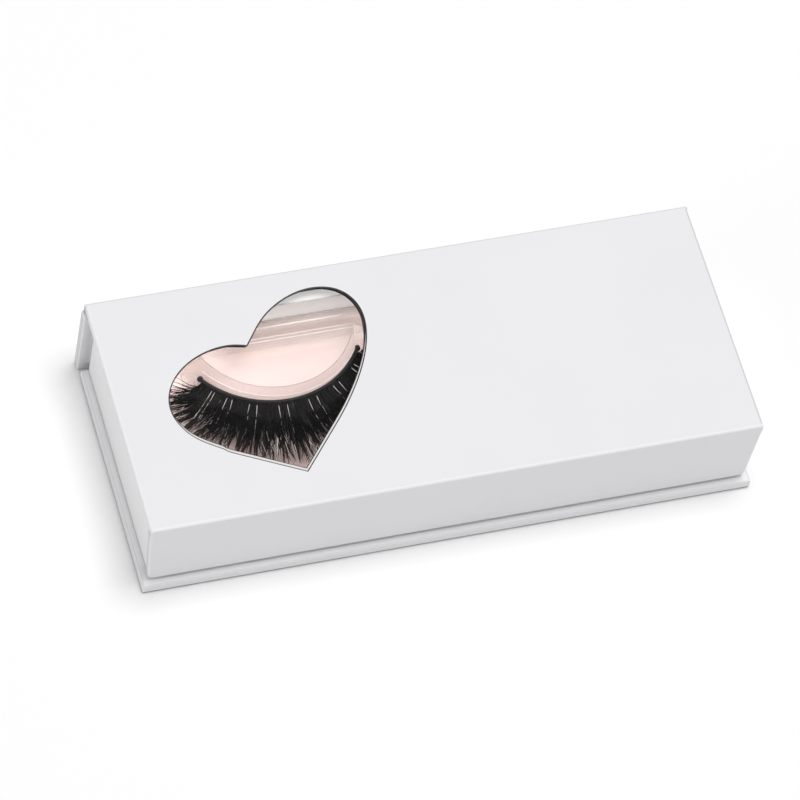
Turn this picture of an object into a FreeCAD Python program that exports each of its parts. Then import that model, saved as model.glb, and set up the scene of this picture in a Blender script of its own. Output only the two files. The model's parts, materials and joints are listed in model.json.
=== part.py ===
import FreeCAD, Part

import math
import os
import re

import Sketcher

# False eyelash case: a wrapped board case (base, spine, lid with a heart window, magnetic flap) that folds
# round a board tray, in which a clear lash tray with one pair of strip lashes sits on a pink card.
# Frame: origin at the middle of the underside, X along the length, Y from the flap to the spine, Z up.

document = FreeCAD.newDocument("eyelash_case")

# Driving sizes in millimetres, angles in degrees. Each one becomes a named cell of the sheet.
DRIVING_SIZES = {
    # outer size of the closed case
    "case_length": 110.0,
    "case_depth": 46.94,
    "case_height": 18.54,
    "front_ledge": 1.19,
    "base_lip": 0.25,
    "spine_lip": 0.55,
    # board and paper
    "greyboard": 1.5,
    "wrap_paper": 0.22,
    "lining_paper": 0.2,
    "turn_in": 5.0,
    "lining_margin": 2.0,
    # creases and fits of the folding panels
    "spine_groove": 1.2,
    "fold_gap": 0.02,
    "flap_foot_gap": 0.3,
    "flap_clearance": 0.65,
    "lid_clearance": 0.2,
    "flap_foot_inset": 0.8,
    "flap_corner": 1.2,
    # heart window in the lid, between two margins in depth and placed from the lid's left end
    "window_width": 37.75,
    "window_front_margin": 6.66,
    "window_back_margin": 4.48,
    "window_from_end": 28.22,
    "window_shift": 0.75,
    "window_set_back": 1.0,
    "film_thickness": 0.2,
    "film_margin": 3.0,
    # magnets in the flap and in the tray's front wall
    "magnet_diameter": 8.0,
    "magnet_thickness": 1.0,
    "magnet_spacing": 60.0,
    "magnet_fit": 0.05,
    # board tray glued on the base
    "tray_inset": 1.15,
    "tray_turn_in": 9.0,
    # pink card that lifts the lash tray
    "insert_fit": 0.2,
    "card_thickness": 0.4,
    "card_height": 4.16,
    # clear lash tray: a well with a rim, and two raised half-moon platforms
    "sheet_thickness": 0.35,
    "well_depth": 3.75,
    "rim_width": 1.6,
    "platform_height": 3.45,
    "platform_slope_run": 3.45,
    "platform_end_gap": 10.46,
    "platform_middle_gap": 3.75,
    "platform_back_gap": 1.5,
    "platform_cut": 4.7,
    # strip lashes
    "band_rise": 1.85,
    "band_width": 0.6,
    "band_height": 0.6,
    "band_angle": 112.0,
    "band_fit": 0.05,
    "hair_thickness": 0.9,
    "hair_dip": 1.0,
    "hair_lift": 0.9,
    "hair_angle": 128.0,
    "hair_middle_gap": 0.6,
    "hair_end_gap": 0.3,
    "hair_front_gap": 6.5,
}

# Outline of the heart, as shares of its width and height, from its lower left corner
HEART_TIP_SHARE = (0.527, 0.0)
HEART_NOTCH_SHARE = (0.428, 0.739)
RIGHT_LOBE_SHARES = [
    (0.726, 0.239),
    (0.848, 0.405),
    (0.934, 0.558),
    (0.989, 0.724),
    (0.996, 0.812),
    (0.975, 0.899),
    (0.919, 0.968),
    (0.835, 1.000),
    (0.752, 0.998),
    (0.671, 0.972),
    (0.530, 0.872),
]
LEFT_LOBE_SHARES = [
    (0.368, 0.754),
    (0.300, 0.755),
    (0.200, 0.729),
    (0.109, 0.675),
    (0.040, 0.598),
    (0.004, 0.510),
    (0.002, 0.425),
    (0.035, 0.336),
    (0.108, 0.252),
    (0.190, 0.192),
    (0.269, 0.141),
]

sizes = document.addObject("Spreadsheet::Sheet", "sizes")
for row, (alias, number) in enumerate(DRIVING_SIZES.items(), start=1):
    sizes.set(f"A{row}", alias)
    sizes.set(f"B{row}", str(number))
    sizes.setAlias(f"B{row}", alias)
document.recompute()

# Places and thicknesses that follow from the driving sizes, written as formulas on the sheet's names
PANEL = "(greyboard + 2 * wrap_paper + lining_paper)"
BACK_FACE = "((case_depth + front_ledge) / 2)"
FLAP_FACE = f"({BACK_FACE} - case_depth)"
BASE_FRONT = f"({FLAP_FACE} - front_ledge)"
BASE_BACK = f"({BACK_FACE} - {PANEL} - spine_groove)"
BASE_DEPTH = f"({BASE_BACK} - {BASE_FRONT})"
BASE_LENGTH = "(case_length + 2 * base_lip)"
SPINE_LENGTH = "(case_length + 2 * spine_lip)"
SPINE_FOOT = "(wrap_paper + fold_gap)"
LID_BACK = f"({BACK_FACE} - wrap_paper - fold_gap)"
LID_DEPTH = f"({LID_BACK} - {FLAP_FACE} - wrap_paper - fold_gap)"
LID_UNDERSIDE = f"(case_height - {PANEL})"
STANDING_TOP = f"({LID_UNDERSIDE} - fold_gap)"
SPINE_HEIGHT = f"({STANDING_TOP} - {SPINE_FOOT})"
FLAP_FOOT = f"({PANEL} + flap_foot_gap)"
FLAP_HEIGHT = f"({STANDING_TOP} - {FLAP_FOOT})"
TRAY_LENGTH = "(case_length - 2 * tray_inset)"
TRAY_FRONT = f"({FLAP_FACE} + {PANEL} + flap_clearance)"
TRAY_DEPTH = f"({BASE_BACK} - {TRAY_FRONT})"
TRAY_RIM = f"({LID_UNDERSIDE} - lid_clearance)"
WALL = "(greyboard + 2 * wrap_paper)"
INNER_LENGTH = f"({TRAY_LENGTH} - 2 * {WALL})"
INNER_DEPTH = f"({TRAY_DEPTH} - 2 * {WALL})"
INNER_FRONT = f"({TRAY_FRONT} + {WALL})"
FLOOR_TOP = f"({PANEL} + greyboard + lining_paper)"
CARD_TOP = f"({FLOOR_TOP} + card_height)"
WELL_FLOOR = f"({CARD_TOP} + sheet_thickness)"
RIM_TOP = f"({WELL_FLOOR} + well_depth)"
WELL_BACK = f"({INNER_FRONT} + {INNER_DEPTH} - insert_fit - rim_width)"
PLATFORM_BACK = f"({WELL_BACK} - platform_back_gap)"
PLATFORM_CENTRE = f"({PLATFORM_BACK} + platform_cut)"
PLATFORM_FOOT = f"(({INNER_LENGTH} / 2 - platform_end_gap - platform_middle_gap) / 2)"
PLATFORM_TOP_RADIUS = f"({PLATFORM_FOOT} - platform_slope_run)"
PLATFORM_MIDDLE = f"(platform_middle_gap + {PLATFORM_FOOT})"
BAND_INNER = f"({PLATFORM_FOOT} - platform_slope_run / platform_height * band_rise + band_fit)"
BAND_OUTER = f"({BAND_INNER} + band_width)"
WINDOW_HEIGHT = "(case_depth - window_front_margin - window_back_margin)"
FILM_LEFT = "(window_from_end - window_width / 2 - film_margin - case_length / 2)"
FILM_FRONT = f"({FLAP_FACE} + window_front_margin - film_margin)"
MAGNET_HEIGHT = f"(({FLAP_FOOT} + {STANDING_TOP}) / 2)"
BOARD_LOW = "wrap_paper"
BOARD_HIGH = "(wrap_paper + greyboard)"
TURN_IN_HIGH = "(2 * wrap_paper + greyboard)"


def on_sheet(formula):
    """Return a formula with every driving size written as its cell of the sheet."""
    names = "|".join(sorted(DRIVING_SIZES, key=len, reverse=True))
    return re.sub(rf"\b({names})\b", r"sizes.\1", formula)


def bind(item, **formulas):
    """Bind an object's named properties to formulas on the sheet's names."""
    for name, formula in formulas.items():
        item.setExpression(name, on_sheet(formula))


def place(item, corner, turn=(0, 0, 1, 0)):
    """Turn an object by (axis, degrees) and bind its place to three formulas."""
    axis_x, axis_y, axis_z, degrees = turn
    rotation = FreeCAD.Rotation(FreeCAD.Vector(axis_x, axis_y, axis_z), degrees)
    item.Placement = FreeCAD.Placement(FreeCAD.Vector(0, 0, 0), rotation)
    for axis, formula in zip("xyz", corner):
        item.setExpression(f".Placement.Base.{axis}", on_sheet(formula))
    return item


def add(kind, label):
    """Add an object of a kind under a label."""
    item = document.addObject(kind, label)
    item.Label = label
    return item


def box(label, spans, corner):
    """Make a box from three spans and its lowest corner, all of them formulas."""
    item = add("Part::Box", label)
    bind(item, Length=spans[0], Width=spans[1], Height=spans[2])
    return place(item, corner)


def centred_box(label, length, low_y, depth, low_z, high_z):
    """Make a box that is centred along X, from its length, its span in Y and its two heights."""
    return box(label, (length, depth, f"{high_z} - {low_z}"), (f"-{length} / 2", low_y, low_z))


def disc(label, diameter, thickness, centre, turn=(0, 0, 1, 0)):
    """Make a disc from its diameter, its thickness and the centre of its first face."""
    item = add("Part::Cylinder", label)
    bind(item, Radius=f"{diameter} / 2", Height=thickness)
    return place(item, centre, turn)


def cut(label, base, *tools):
    """Cut one or more tools from a base, and label the result."""
    for number, tool in enumerate(tools, start=1):
        last = number == len(tools)
        item = add("Part::Cut", label if last else f"{label}_step_{number}")
        item.Base = base
        item.Tool = tool
        base = item
    return base


def fuse(label, *pieces):
    """Fuse pieces into one solid."""
    item = add("Part::MultiFuse", label)
    item.Shapes = list(pieces)
    return item


def common(label, first, second):
    """Keep what two pieces share."""
    item = add("Part::Common", label)
    item.Base = first
    item.Tool = second
    return item


def group(label, *pieces):
    """Group separate solids under one label."""
    item = add("Part::Compound", label)
    item.Links = list(pieces)
    return item


def plate(label, back_length, front_length, depth, inset, low, high, corner_radius=None):
    """Make a flat board as a body: a four-sided outline, padded from one height to another.

    The outline is centred along X, its back edge lies at Y = inset, and both lengths and the depth lose
    the inset at each end. A corner radius rounds the two corners of the front edge.
    """
    body = add("PartDesign::Body", label)
    outline = body.newObject("Sketcher::SketchObject", f"{label}_outline")
    plane = next(item for item in body.Origin.OriginFeatures if item.Role == "XY_Plane")
    outline.AttachmentSupport = (plane, [""])
    outline.MapMode = "FlatFace"
    bind(outline, **{".AttachmentOffset.Base.y": inset, ".AttachmentOffset.Base.z": low})
    half = sizes.case_length / 2
    reach = sizes.case_height
    corners = [
        FreeCAD.Vector(-half, 0, 0),
        FreeCAD.Vector(half, 0, 0),
        FreeCAD.Vector(half, reach, 0),
        FreeCAD.Vector(-half, reach, 0),
    ]
    for number, corner in enumerate(corners):
        outline.addGeometry(Part.LineSegment(corner, corners[(number + 1) % 4]), False)
    for number in range(4):
        outline.addConstraint(Sketcher.Constraint("Coincident", number, 2, (number + 1) % 4, 1))
    outline.addConstraint(Sketcher.Constraint("PointOnObject", 0, 1, -1))
    outline.addConstraint(Sketcher.Constraint("Symmetric", 0, 1, 0, 2, -2))
    outline.addConstraint(Sketcher.Constraint("Symmetric", 2, 1, 2, 2, -2))
    spans = {
        "back_length": (Sketcher.Constraint("DistanceX", 0, 1, 0, 2, 2 * half), f"{back_length} - 2 * {inset}"),
        "front_length": (Sketcher.Constraint("DistanceX", 2, 2, 2, 1, 2 * half), f"{front_length} - 2 * {inset}"),
        "depth": (Sketcher.Constraint("DistanceY", 0, 1, 2, 2, reach), f"{depth} - 2 * {inset}"),
    }
    for name, (constraint, formula) in spans.items():
        number = outline.addConstraint(constraint)
        outline.renameConstraint(number, name)
        outline.setExpression(f"Constraints.{name}", on_sheet(formula))
    pad = body.newObject("PartDesign::Pad", f"{label}_pad")
    pad.Profile = outline
    bind(pad, Length=f"{high} - {low}")
    if corner_radius:
        document.recompute()
        fillet = body.newObject("PartDesign::Fillet", f"{label}_corners")
        fillet.Base = (pad, front_corner_edges(pad.Shape))
        bind(fillet, Radius=corner_radius)
    return body


def front_corner_edges(shape):
    """Name the two upright edges at the front of a plate."""
    front = shape.BoundBox.YMax
    names = []
    for number, edge in enumerate(shape.Edges, start=1):
        start, end = (vertex.Point for vertex in edge.Vertexes)
        upright = math.isclose(start.x, end.x) and math.isclose(start.y, end.y)
        if upright and math.isclose(start.y, front):
            names.append(f"Edge{number}")
    return names


def straight_panel(name, length, depth):
    """Make a wrapped panel in its own frame: outer face at Z zero, back edge at Y zero.

    Returns its board, its outer wrap with the turned-in edges, and its lining over the turn-ins.
    """
    board = plate(f"{name}_core_board", length, length, depth, "wrap_paper", BOARD_LOW, BOARD_HIGH)
    sheet = plate(f"{name}_sheet", length, length, depth, "0", "0", TURN_IN_HIGH)
    opening = plate(f"{name}_wrap_opening", length, length, depth, "turn_in", BOARD_HIGH, TURN_IN_HIGH)
    wrap = cut(f"{name}_folded_wrap", sheet, board, opening)
    face = plate(f"{name}_lining_face", length, length, depth, "lining_margin", TURN_IN_HIGH, PANEL)
    lining = fuse(f"{name}_pressed_lining", face, opening)
    return board, wrap, lining


def heart_face(label, width, height):
    """Make the flat heart: two straight sides from the tip, and a lobe curve on each side of the notch."""
    def at(share):
        return FreeCAD.Vector(width * (share[0] - 0.5), height * (share[1] - 0.5), 0)

    tip = at(HEART_TIP_SHARE)
    right = [at(share) for share in RIGHT_LOBE_SHARES + [HEART_NOTCH_SHARE]]
    left = [at(share) for share in [HEART_NOTCH_SHARE] + LEFT_LOBE_SHARES]
    right_lobe = Part.BSplineCurve()
    right_lobe.interpolate(Points=right, InitialTangent=right[0] - tip, FinalTangent=right[-1] - right[-2])
    left_lobe = Part.BSplineCurve()
    left_lobe.interpolate(Points=left, InitialTangent=left[1] - left[0], FinalTangent=tip - left[-1])
    sides = [
        Part.makeLine(tip, right[0]),
        right_lobe.toShape(),
        left_lobe.toShape(),
        Part.makeLine(left[-1], tip),
    ]
    item = add("Part::Feature", label)
    item.Shape = Part.Face(Part.Wire(sides))
    return item


def heart_cutter(label, face, shift, low, high):
    """Extrude a heart between two heights, over the window's middle and shifted towards the spine."""
    item = add("Part::Extrusion", label)
    item.Base = face
    item.DirMode = "Custom"
    item.Dir = FreeCAD.Vector(0, 0, 1)
    item.Solid = True
    bind(item, LengthFwd=f"{high} - {low}")
    middle = f"{FLAP_FACE} + window_front_margin + {WINDOW_HEIGHT} / 2 + {shift}"
    return place(item, ("window_from_end - case_length / 2", middle, low))


def annular_sector(label, inner, outer, angle, centre, low, high):
    """Make a sector of a ring that opens towards the flap, from two radii, an angle and two heights."""
    start_angle = 270 - angle / 2
    ring = add("Part::Cylinder", f"{label}_disc")
    bind(ring, Radius=outer, Height=f"{high} - {low}")
    ring.Angle = angle
    place(ring, (centre[0], centre[1], low), (0, 0, 1, start_angle))
    bore = add("Part::Cylinder", f"{label}_bore")
    bind(bore, Radius=inner, Height=f"{high} - {low}")
    place(bore, (centre[0], centre[1], low))
    return cut(label, ring, bore)


# Turns that lay a panel's own frame on the case: base flat, spine and flap standing, lid face up
FLAT = (0, 0, 1, 0)
STANDING_AT_BACK = (1, 0, 0, 90)
STANDING_AT_FRONT = (1, 0, 0, -90)
FACE_UP = (1, 0, 0, 180)

nodes = []


def keep(item, label):
    """Give a finished sub-part its label and put it on the list of nodes."""
    item.Label = label
    nodes.append(item)
    return item


# Base panel: the lowest board, which reaches past the flap and carries the tray
base_place = ("0", BASE_FRONT, "0")
base_board, base_wrap, base_lining = straight_panel("base", BASE_LENGTH, BASE_DEPTH)
keep(place(group("base_board", base_board), base_place, FLAT), "base_board")
keep(place(base_wrap, base_place, FLAT), "base_wrap")
keep(place(base_lining, base_place, FLAT), "base_lining")

# Spine panel: stands behind the tray on the folded paper of the base crease
spine_place = ("0", BACK_FACE, SPINE_FOOT)
spine_board, spine_wrap, spine_lining = straight_panel("spine", SPINE_LENGTH, SPINE_HEIGHT)
keep(place(group("spine_board", spine_board), spine_place, STANDING_AT_BACK), "spine_board")
keep(place(spine_wrap, spine_place, STANDING_AT_BACK), "spine_wrap")
keep(place(spine_lining, spine_place, STANDING_AT_BACK), "spine_lining")

# Paper creases: the strips of wrap that bridge the grooves between the panels and act as their hinges
keep(centred_box("base_crease", BASE_LENGTH, BASE_BACK, f"{BACK_FACE} - {BASE_BACK}", "0", "wrap_paper"), "base_crease")
lid_crease = centred_box(
    "lid_crease", SPINE_LENGTH, f"{BACK_FACE} - wrap_paper", "wrap_paper", STANDING_TOP, "case_height"
)
keep(lid_crease, "lid_crease")
keep(centred_box("flap_crease", "case_length", FLAP_FACE, "wrap_paper", STANDING_TOP, "case_height"), "flap_crease")

# Lid panel with the heart window: the paper's heart, the board's heart a little nearer the spine,
# the clear film under the board, and the lining's larger heart that frames it
lid_place = ("0", LID_BACK, "case_height")
lid_board, lid_wrap, lid_lining = straight_panel("lid", "case_length", LID_DEPTH)
lid_board_blank = place(group("lid_board_blank", lid_board), lid_place, FACE_UP)
lid_wrap_blank = place(lid_wrap, lid_place, FACE_UP)
lid_lining_blank = place(lid_lining, lid_place, FACE_UP)
BOARD_UNDERSIDE = f"(case_height - {BOARD_HIGH})"
FILM_LENGTH = "(window_width + 2 * film_margin)"
FILM_DEPTH = f"({WINDOW_HEIGHT} + 2 * film_margin)"
window_height = sizes.case_depth - sizes.window_front_margin - sizes.window_back_margin
heart = heart_face("heart_outline", sizes.window_width, window_height)
frame_growth = 2 * sizes.window_set_back
framing_heart = heart_face(
    "framing_heart_outline", sizes.window_width + frame_growth, window_height + frame_growth
)
paper_heart = heart_cutter("paper_heart", heart, "0", LID_UNDERSIDE, "case_height")
board_heart = heart_cutter("board_heart", heart, "window_shift", LID_UNDERSIDE, "case_height")
lining_heart = heart_cutter("lining_heart", framing_heart, "window_shift", LID_UNDERSIDE, "case_height")
film_bed = box(
    "film_bed", (FILM_LENGTH, FILM_DEPTH, f"{BOARD_UNDERSIDE} - {LID_UNDERSIDE} - lining_paper"),
    (FILM_LEFT, FILM_FRONT, f"{LID_UNDERSIDE} + lining_paper"),
)
window_film = box(
    "window_film", (FILM_LENGTH, FILM_DEPTH, "film_thickness"),
    (FILM_LEFT, FILM_FRONT, f"{BOARD_UNDERSIDE} - film_thickness"),
)
keep(cut("lid_board", lid_board_blank, board_heart), "lid_board")
keep(cut("lid_wrap", lid_wrap_blank, paper_heart, film_bed), "lid_wrap")
keep(cut("lid_lining", lid_lining_blank, lining_heart, film_bed), "lid_lining")
keep(window_film, "window_film")

# Flap panel: hangs in front of the tray, a little narrower at its foot, with two magnets in its board
flap_place = ("0", FLAP_FACE, STANDING_TOP)
FLAP_FOOT_LENGTH = "(case_length - 2 * flap_foot_inset)"
MAGNET_DROP = f"({STANDING_TOP} - {MAGNET_HEIGHT})"
POCKET_DIAMETER = "(magnet_diameter + 2 * magnet_fit)"


def flap_plate(label, inset, low, high):
    """Make a tapered plate of the flap, with its foot's corners rounded inside the outer corner."""
    radius = f"flap_corner - {inset}" if inset == "wrap_paper" else "flap_corner"
    return plate(label, "case_length", FLAP_FOOT_LENGTH, FLAP_HEIGHT, inset, low, high, radius)


flap_blank = flap_plate("flap_blank", "wrap_paper", BOARD_LOW, BOARD_HIGH)
flap_sheet = flap_plate("flap_sheet", "0", "0", TURN_IN_HIGH)
flap_opening = flap_plate("flap_wrap_opening", "turn_in", BOARD_HIGH, TURN_IN_HIGH)
flap_lining_face = flap_plate("flap_lining_face", "lining_margin", TURN_IN_HIGH, PANEL)
flap_pockets = []
flap_discs = []
for side, sign in (("left", "-"), ("right", "")):
    spot = (f"{sign}magnet_spacing / 2", MAGNET_DROP, f"{BOARD_HIGH} - magnet_thickness")
    flap_pockets.append(disc(f"flap_pocket_{side}", POCKET_DIAMETER, "magnet_thickness", spot))
    flap_discs.append(disc(f"flap_magnet_{side}", "magnet_diameter", "magnet_thickness", spot))
keep(place(cut("flap_board", flap_blank, *flap_pockets), flap_place, STANDING_AT_FRONT), "flap_board")
keep(place(cut("flap_wrap", flap_sheet, flap_blank, flap_opening), flap_place, STANDING_AT_FRONT), "flap_wrap")
flap_lining = fuse("flap_lining", flap_lining_face, flap_opening)
keep(place(flap_lining, flap_place, STANDING_AT_FRONT), "flap_lining")
keep(place(group("flap_magnets", *flap_discs), flap_place, STANDING_AT_FRONT), "flap_magnets")

# Board tray: floor and four walls on the base, with two magnets in the front wall behind those of the flap
BOARDS_LENGTH = f"({TRAY_LENGTH} - 2 * wrap_paper)"
BOARDS_DEPTH = f"({TRAY_DEPTH} - 2 * wrap_paper)"
BOARDS_FRONT = f"({TRAY_FRONT} + wrap_paper)"
BOARDS_TOP = f"({TRAY_RIM} - wrap_paper)"
BETWEEN_WALLS_FRONT = f"({BOARDS_FRONT} + greyboard)"
BETWEEN_WALLS_DEPTH = f"({BOARDS_DEPTH} - 2 * greyboard)"
BETWEEN_WALLS_LENGTH = f"({BOARDS_LENGTH} - 2 * greyboard)"
front_wall_blank = centred_box("front_wall_blank", BOARDS_LENGTH, BOARDS_FRONT, "greyboard", PANEL, BOARDS_TOP)
back_wall_front = f"({BETWEEN_WALLS_FRONT} + {BETWEEN_WALLS_DEPTH})"
back_wall = centred_box("tray_back_wall", BOARDS_LENGTH, back_wall_front, "greyboard", PANEL, BOARDS_TOP)
end_wall_spans = ("greyboard", BETWEEN_WALLS_DEPTH, f"{BOARDS_TOP} - {PANEL}")
left_wall = box("tray_left_wall", end_wall_spans, (f"-{BOARDS_LENGTH} / 2", BETWEEN_WALLS_FRONT, PANEL))
right_wall = box("tray_right_wall", end_wall_spans, (f"{BETWEEN_WALLS_LENGTH} / 2", BETWEEN_WALLS_FRONT, PANEL))
tray_floor = centred_box(
    "tray_floor", BETWEEN_WALLS_LENGTH, BETWEEN_WALLS_FRONT, BETWEEN_WALLS_DEPTH, PANEL, f"({PANEL} + greyboard)"
)
tray_pockets = []
tray_discs = []
for side, sign in (("left", "-"), ("right", "")):
    spot = (f"{sign}magnet_spacing / 2", BOARDS_FRONT, MAGNET_HEIGHT)
    tray_pockets.append(disc(f"tray_pocket_{side}", POCKET_DIAMETER, "magnet_thickness", spot, STANDING_AT_FRONT))
    tray_discs.append(disc(f"tray_magnet_{side}", "magnet_diameter", "magnet_thickness", spot, STANDING_AT_FRONT))
keep(cut("tray_front_wall", front_wall_blank, *tray_pockets), "tray_front_wall")
keep(back_wall, "tray_back_wall")
keep(left_wall, "tray_left_wall")
keep(right_wall, "tray_right_wall")
keep(tray_floor, "tray_floor")
keep(group("tray_magnets", *tray_discs), "tray_magnets")

# Tray wrap: covers the walls outside, over the rim and down inside as far as its turned-in skirt
SKIRT_FOOT = f"({TRAY_RIM} - tray_turn_in)"
tray_block = centred_box("tray_wrap_block", TRAY_LENGTH, TRAY_FRONT, TRAY_DEPTH, PANEL, TRAY_RIM)
tray_cavity = centred_box("tray_cavity", INNER_LENGTH, INNER_FRONT, INNER_DEPTH, PANEL, TRAY_RIM)
boards_block = centred_box("boards_block", BOARDS_LENGTH, BOARDS_FRONT, BOARDS_DEPTH, PANEL, BOARDS_TOP)
skirt_block = centred_box(
    "skirt_block", BETWEEN_WALLS_LENGTH, BETWEEN_WALLS_FRONT, BETWEEN_WALLS_DEPTH, SKIRT_FOOT, TRAY_RIM
)
walls_space = cut("walls_space", boards_block, skirt_block)
keep(cut("tray_wrap", tray_block, tray_cavity, walls_space), "tray_wrap")
keep(
    centred_box("tray_floor_paper", INNER_LENGTH, INNER_FRONT, INNER_DEPTH, f"({PANEL} + greyboard)", FLOOR_TOP),
    "tray_floor_paper",
)

# Pink card: a folded platform that stands on the tray's floor and carries the lash tray
CARD_LENGTH = f"({INNER_LENGTH} - 2 * insert_fit)"
CARD_DEPTH = f"({INNER_DEPTH} - 2 * insert_fit)"
CARD_FRONT = f"({INNER_FRONT} + insert_fit)"
card_block = centred_box("card_block", CARD_LENGTH, CARD_FRONT, CARD_DEPTH, FLOOR_TOP, CARD_TOP)
card_hollow = centred_box(
    "card_hollow", f"({CARD_LENGTH} - 2 * card_thickness)", f"({CARD_FRONT} + card_thickness)",
    f"({CARD_DEPTH} - 2 * card_thickness)", FLOOR_TOP, f"({CARD_TOP} - card_thickness)",
)
keep(cut("insert_card", card_block, card_hollow), "insert_card")

# Clear lash tray: one sheet formed into a rim, a well and two hollow half-moon platforms
WELL_LENGTH = f"({CARD_LENGTH} - 2 * rim_width)"
WELL_DEPTH_Y = f"({CARD_DEPTH} - 2 * rim_width)"
WELL_FRONT = f"({CARD_FRONT} + rim_width)"
PLATFORM_TOP = f"({WELL_FLOOR} + platform_height)"
rim_sheet = centred_box("rim_sheet", CARD_LENGTH, CARD_FRONT, CARD_DEPTH, f"({RIM_TOP} - sheet_thickness)", RIM_TOP)
well_shell = centred_box(
    "well_shell", f"({WELL_LENGTH} + 2 * sheet_thickness)", f"({WELL_FRONT} - sheet_thickness)",
    f"({WELL_DEPTH_Y} + 2 * sheet_thickness)", CARD_TOP, RIM_TOP,
)
well_space = centred_box("well_space", WELL_LENGTH, WELL_FRONT, WELL_DEPTH_Y, WELL_FLOOR, RIM_TOP)
formed_well = cut("formed_well", fuse("well_and_rim", rim_sheet, well_shell), well_space)


def half_moon(label, foot_radius, top_radius, sign, back, low, high):
    """Make a sloping half-moon block: a cone cut off by a straight back face."""
    cone = add("Part::Cone", f"{label}_cone")
    bind(cone, Radius1=foot_radius, Radius2=top_radius, Height=f"{high} - {low}")
    middle = f"{sign}{PLATFORM_MIDDLE}"
    place(cone, (middle, PLATFORM_CENTRE, low))
    front_side = box(
        f"{label}_front_side", (f"2 * {foot_radius}", foot_radius, f"{high} - {low}"),
        (f"{middle} - {foot_radius}", f"{back} - {foot_radius}", low),
    )
    return common(label, cone, front_side)


platforms = []
platform_hollows = []
for side, sign in (("left", "-"), ("right", "")):
    platforms.append(
        half_moon(
            f"platform_{side}", PLATFORM_FOOT, PLATFORM_TOP_RADIUS, sign,
            PLATFORM_BACK, WELL_FLOOR, PLATFORM_TOP,
        )
    )
    platform_hollows.append(
        half_moon(
            f"platform_hollow_{side}", f"({PLATFORM_FOOT} - sheet_thickness)",
            f"({PLATFORM_TOP_RADIUS} - sheet_thickness)", sign,
            f"({PLATFORM_BACK} - sheet_thickness)", CARD_TOP, f"({PLATFORM_TOP} - sheet_thickness)",
        )
    )
keep(cut("lash_tray", fuse("lash_tray_shell", formed_well, *platforms), *platform_hollows), "lash_tray")

# Strip lashes: a curved band round each platform's slope, and the fan of hair that leaves it
BAND_FOOT = f"({WELL_FLOOR} + band_rise)"


def hair_fan(label, root, tip):
    """Make one fan of hair: a thin curled profile, lowest at mid-length, swept round the platform's axis."""
    middle = (root + tip) / 2
    root_low = FreeCAD.Vector(root, 0, 0)
    root_high = FreeCAD.Vector(root, 0, sizes.band_height)
    tip_low = FreeCAD.Vector(tip, 0, sizes.hair_lift)
    middle_low = FreeCAD.Vector(middle, 0, -sizes.hair_dip)
    middle_high = FreeCAD.Vector(middle, 0, sizes.hair_thickness - sizes.hair_dip)
    outline = Part.Wire([
        Part.Arc(root_low, middle_low, tip_low).toShape(),
        Part.Arc(tip_low, middle_high, root_high).toShape(),
        Part.makeLine(root_high, root_low),
    ])
    fan = Part.Face(outline).revolve(FreeCAD.Vector(0, 0, 0), FreeCAD.Vector(0, 0, 1), sizes.hair_angle)
    item = add("Part::Feature", label)
    item.Shape = fan
    return item


HAIR_ROOM_LENGTH = f"({WELL_LENGTH} / 2 - hair_middle_gap / 2 - hair_end_gap)"
for side, sign in (("left", "-"), ("right", "")):
    centre = (f"{sign}{PLATFORM_MIDDLE}", PLATFORM_CENTRE)
    band = annular_sector(
        f"lash_band_{side}", BAND_INNER, BAND_OUTER, sizes.band_angle, centre,
        BAND_FOOT, f"({BAND_FOOT} + band_height)",
    )
    keep(band, f"lash_band_{side}")
    room_start = f"hair_end_gap - {WELL_LENGTH} / 2" if sign else "hair_middle_gap / 2"
    hair_room = box(
        f"hair_room_{side}", (HAIR_ROOM_LENGTH, f"{PLATFORM_CENTRE} - {WELL_FRONT}", "case_height"),
        (room_start, WELL_FRONT, "0"),
    )
    document.recompute()
    root = band.Base.Radius.Value + sizes.band_fit
    tip = hair_room.Width.Value - sizes.hair_front_gap
    fan = hair_fan(f"hair_fan_{side}", root, tip)
    place(fan, (*centre, BAND_FOOT), (0, 0, 1, 270 - sizes.hair_angle / 2))
    keep(common(f"lash_hair_{side}", fan, hair_room), f"lash_hair_{side}")

document.recompute()
for item in document.Objects:
    if "Invalid" in item.State or "Error" in item.State:
        raise RuntimeError(f"{item.Label} did not build: {item.State}")
os.makedirs("parts", exist_ok=True)
for node in nodes:
    if node.Shape.isNull() or not node.Shape.isValid() or not node.Shape.Solids:
        raise RuntimeError(f"{node.Label} has no valid solid")
    node.Shape.exportStep(os.path.join("parts", f"{node.Label}.step"))
    bounds = node.Shape.BoundBox
    print(
        f"{node.Label:18s} solids {len(node.Shape.Solids)} volume {node.Shape.Volume:9.2f}",
        f"x {bounds.XMin:7.2f} {bounds.XMax:7.2f} y {bounds.YMin:7.2f} {bounds.YMax:7.2f}",
        f"z {bounds.ZMin:6.2f} {bounds.ZMax:6.2f}",
    )
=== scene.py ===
"""Looks of a slim lash case with a heart window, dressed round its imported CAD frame.

Lengths are in millimetres unless a docstring says otherwise; MM turns them into metres.
"""

import json
import logging
import math
import random
from dataclasses import dataclass, field
from enum import Enum
from typing import Any, Callable, Iterable

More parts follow.
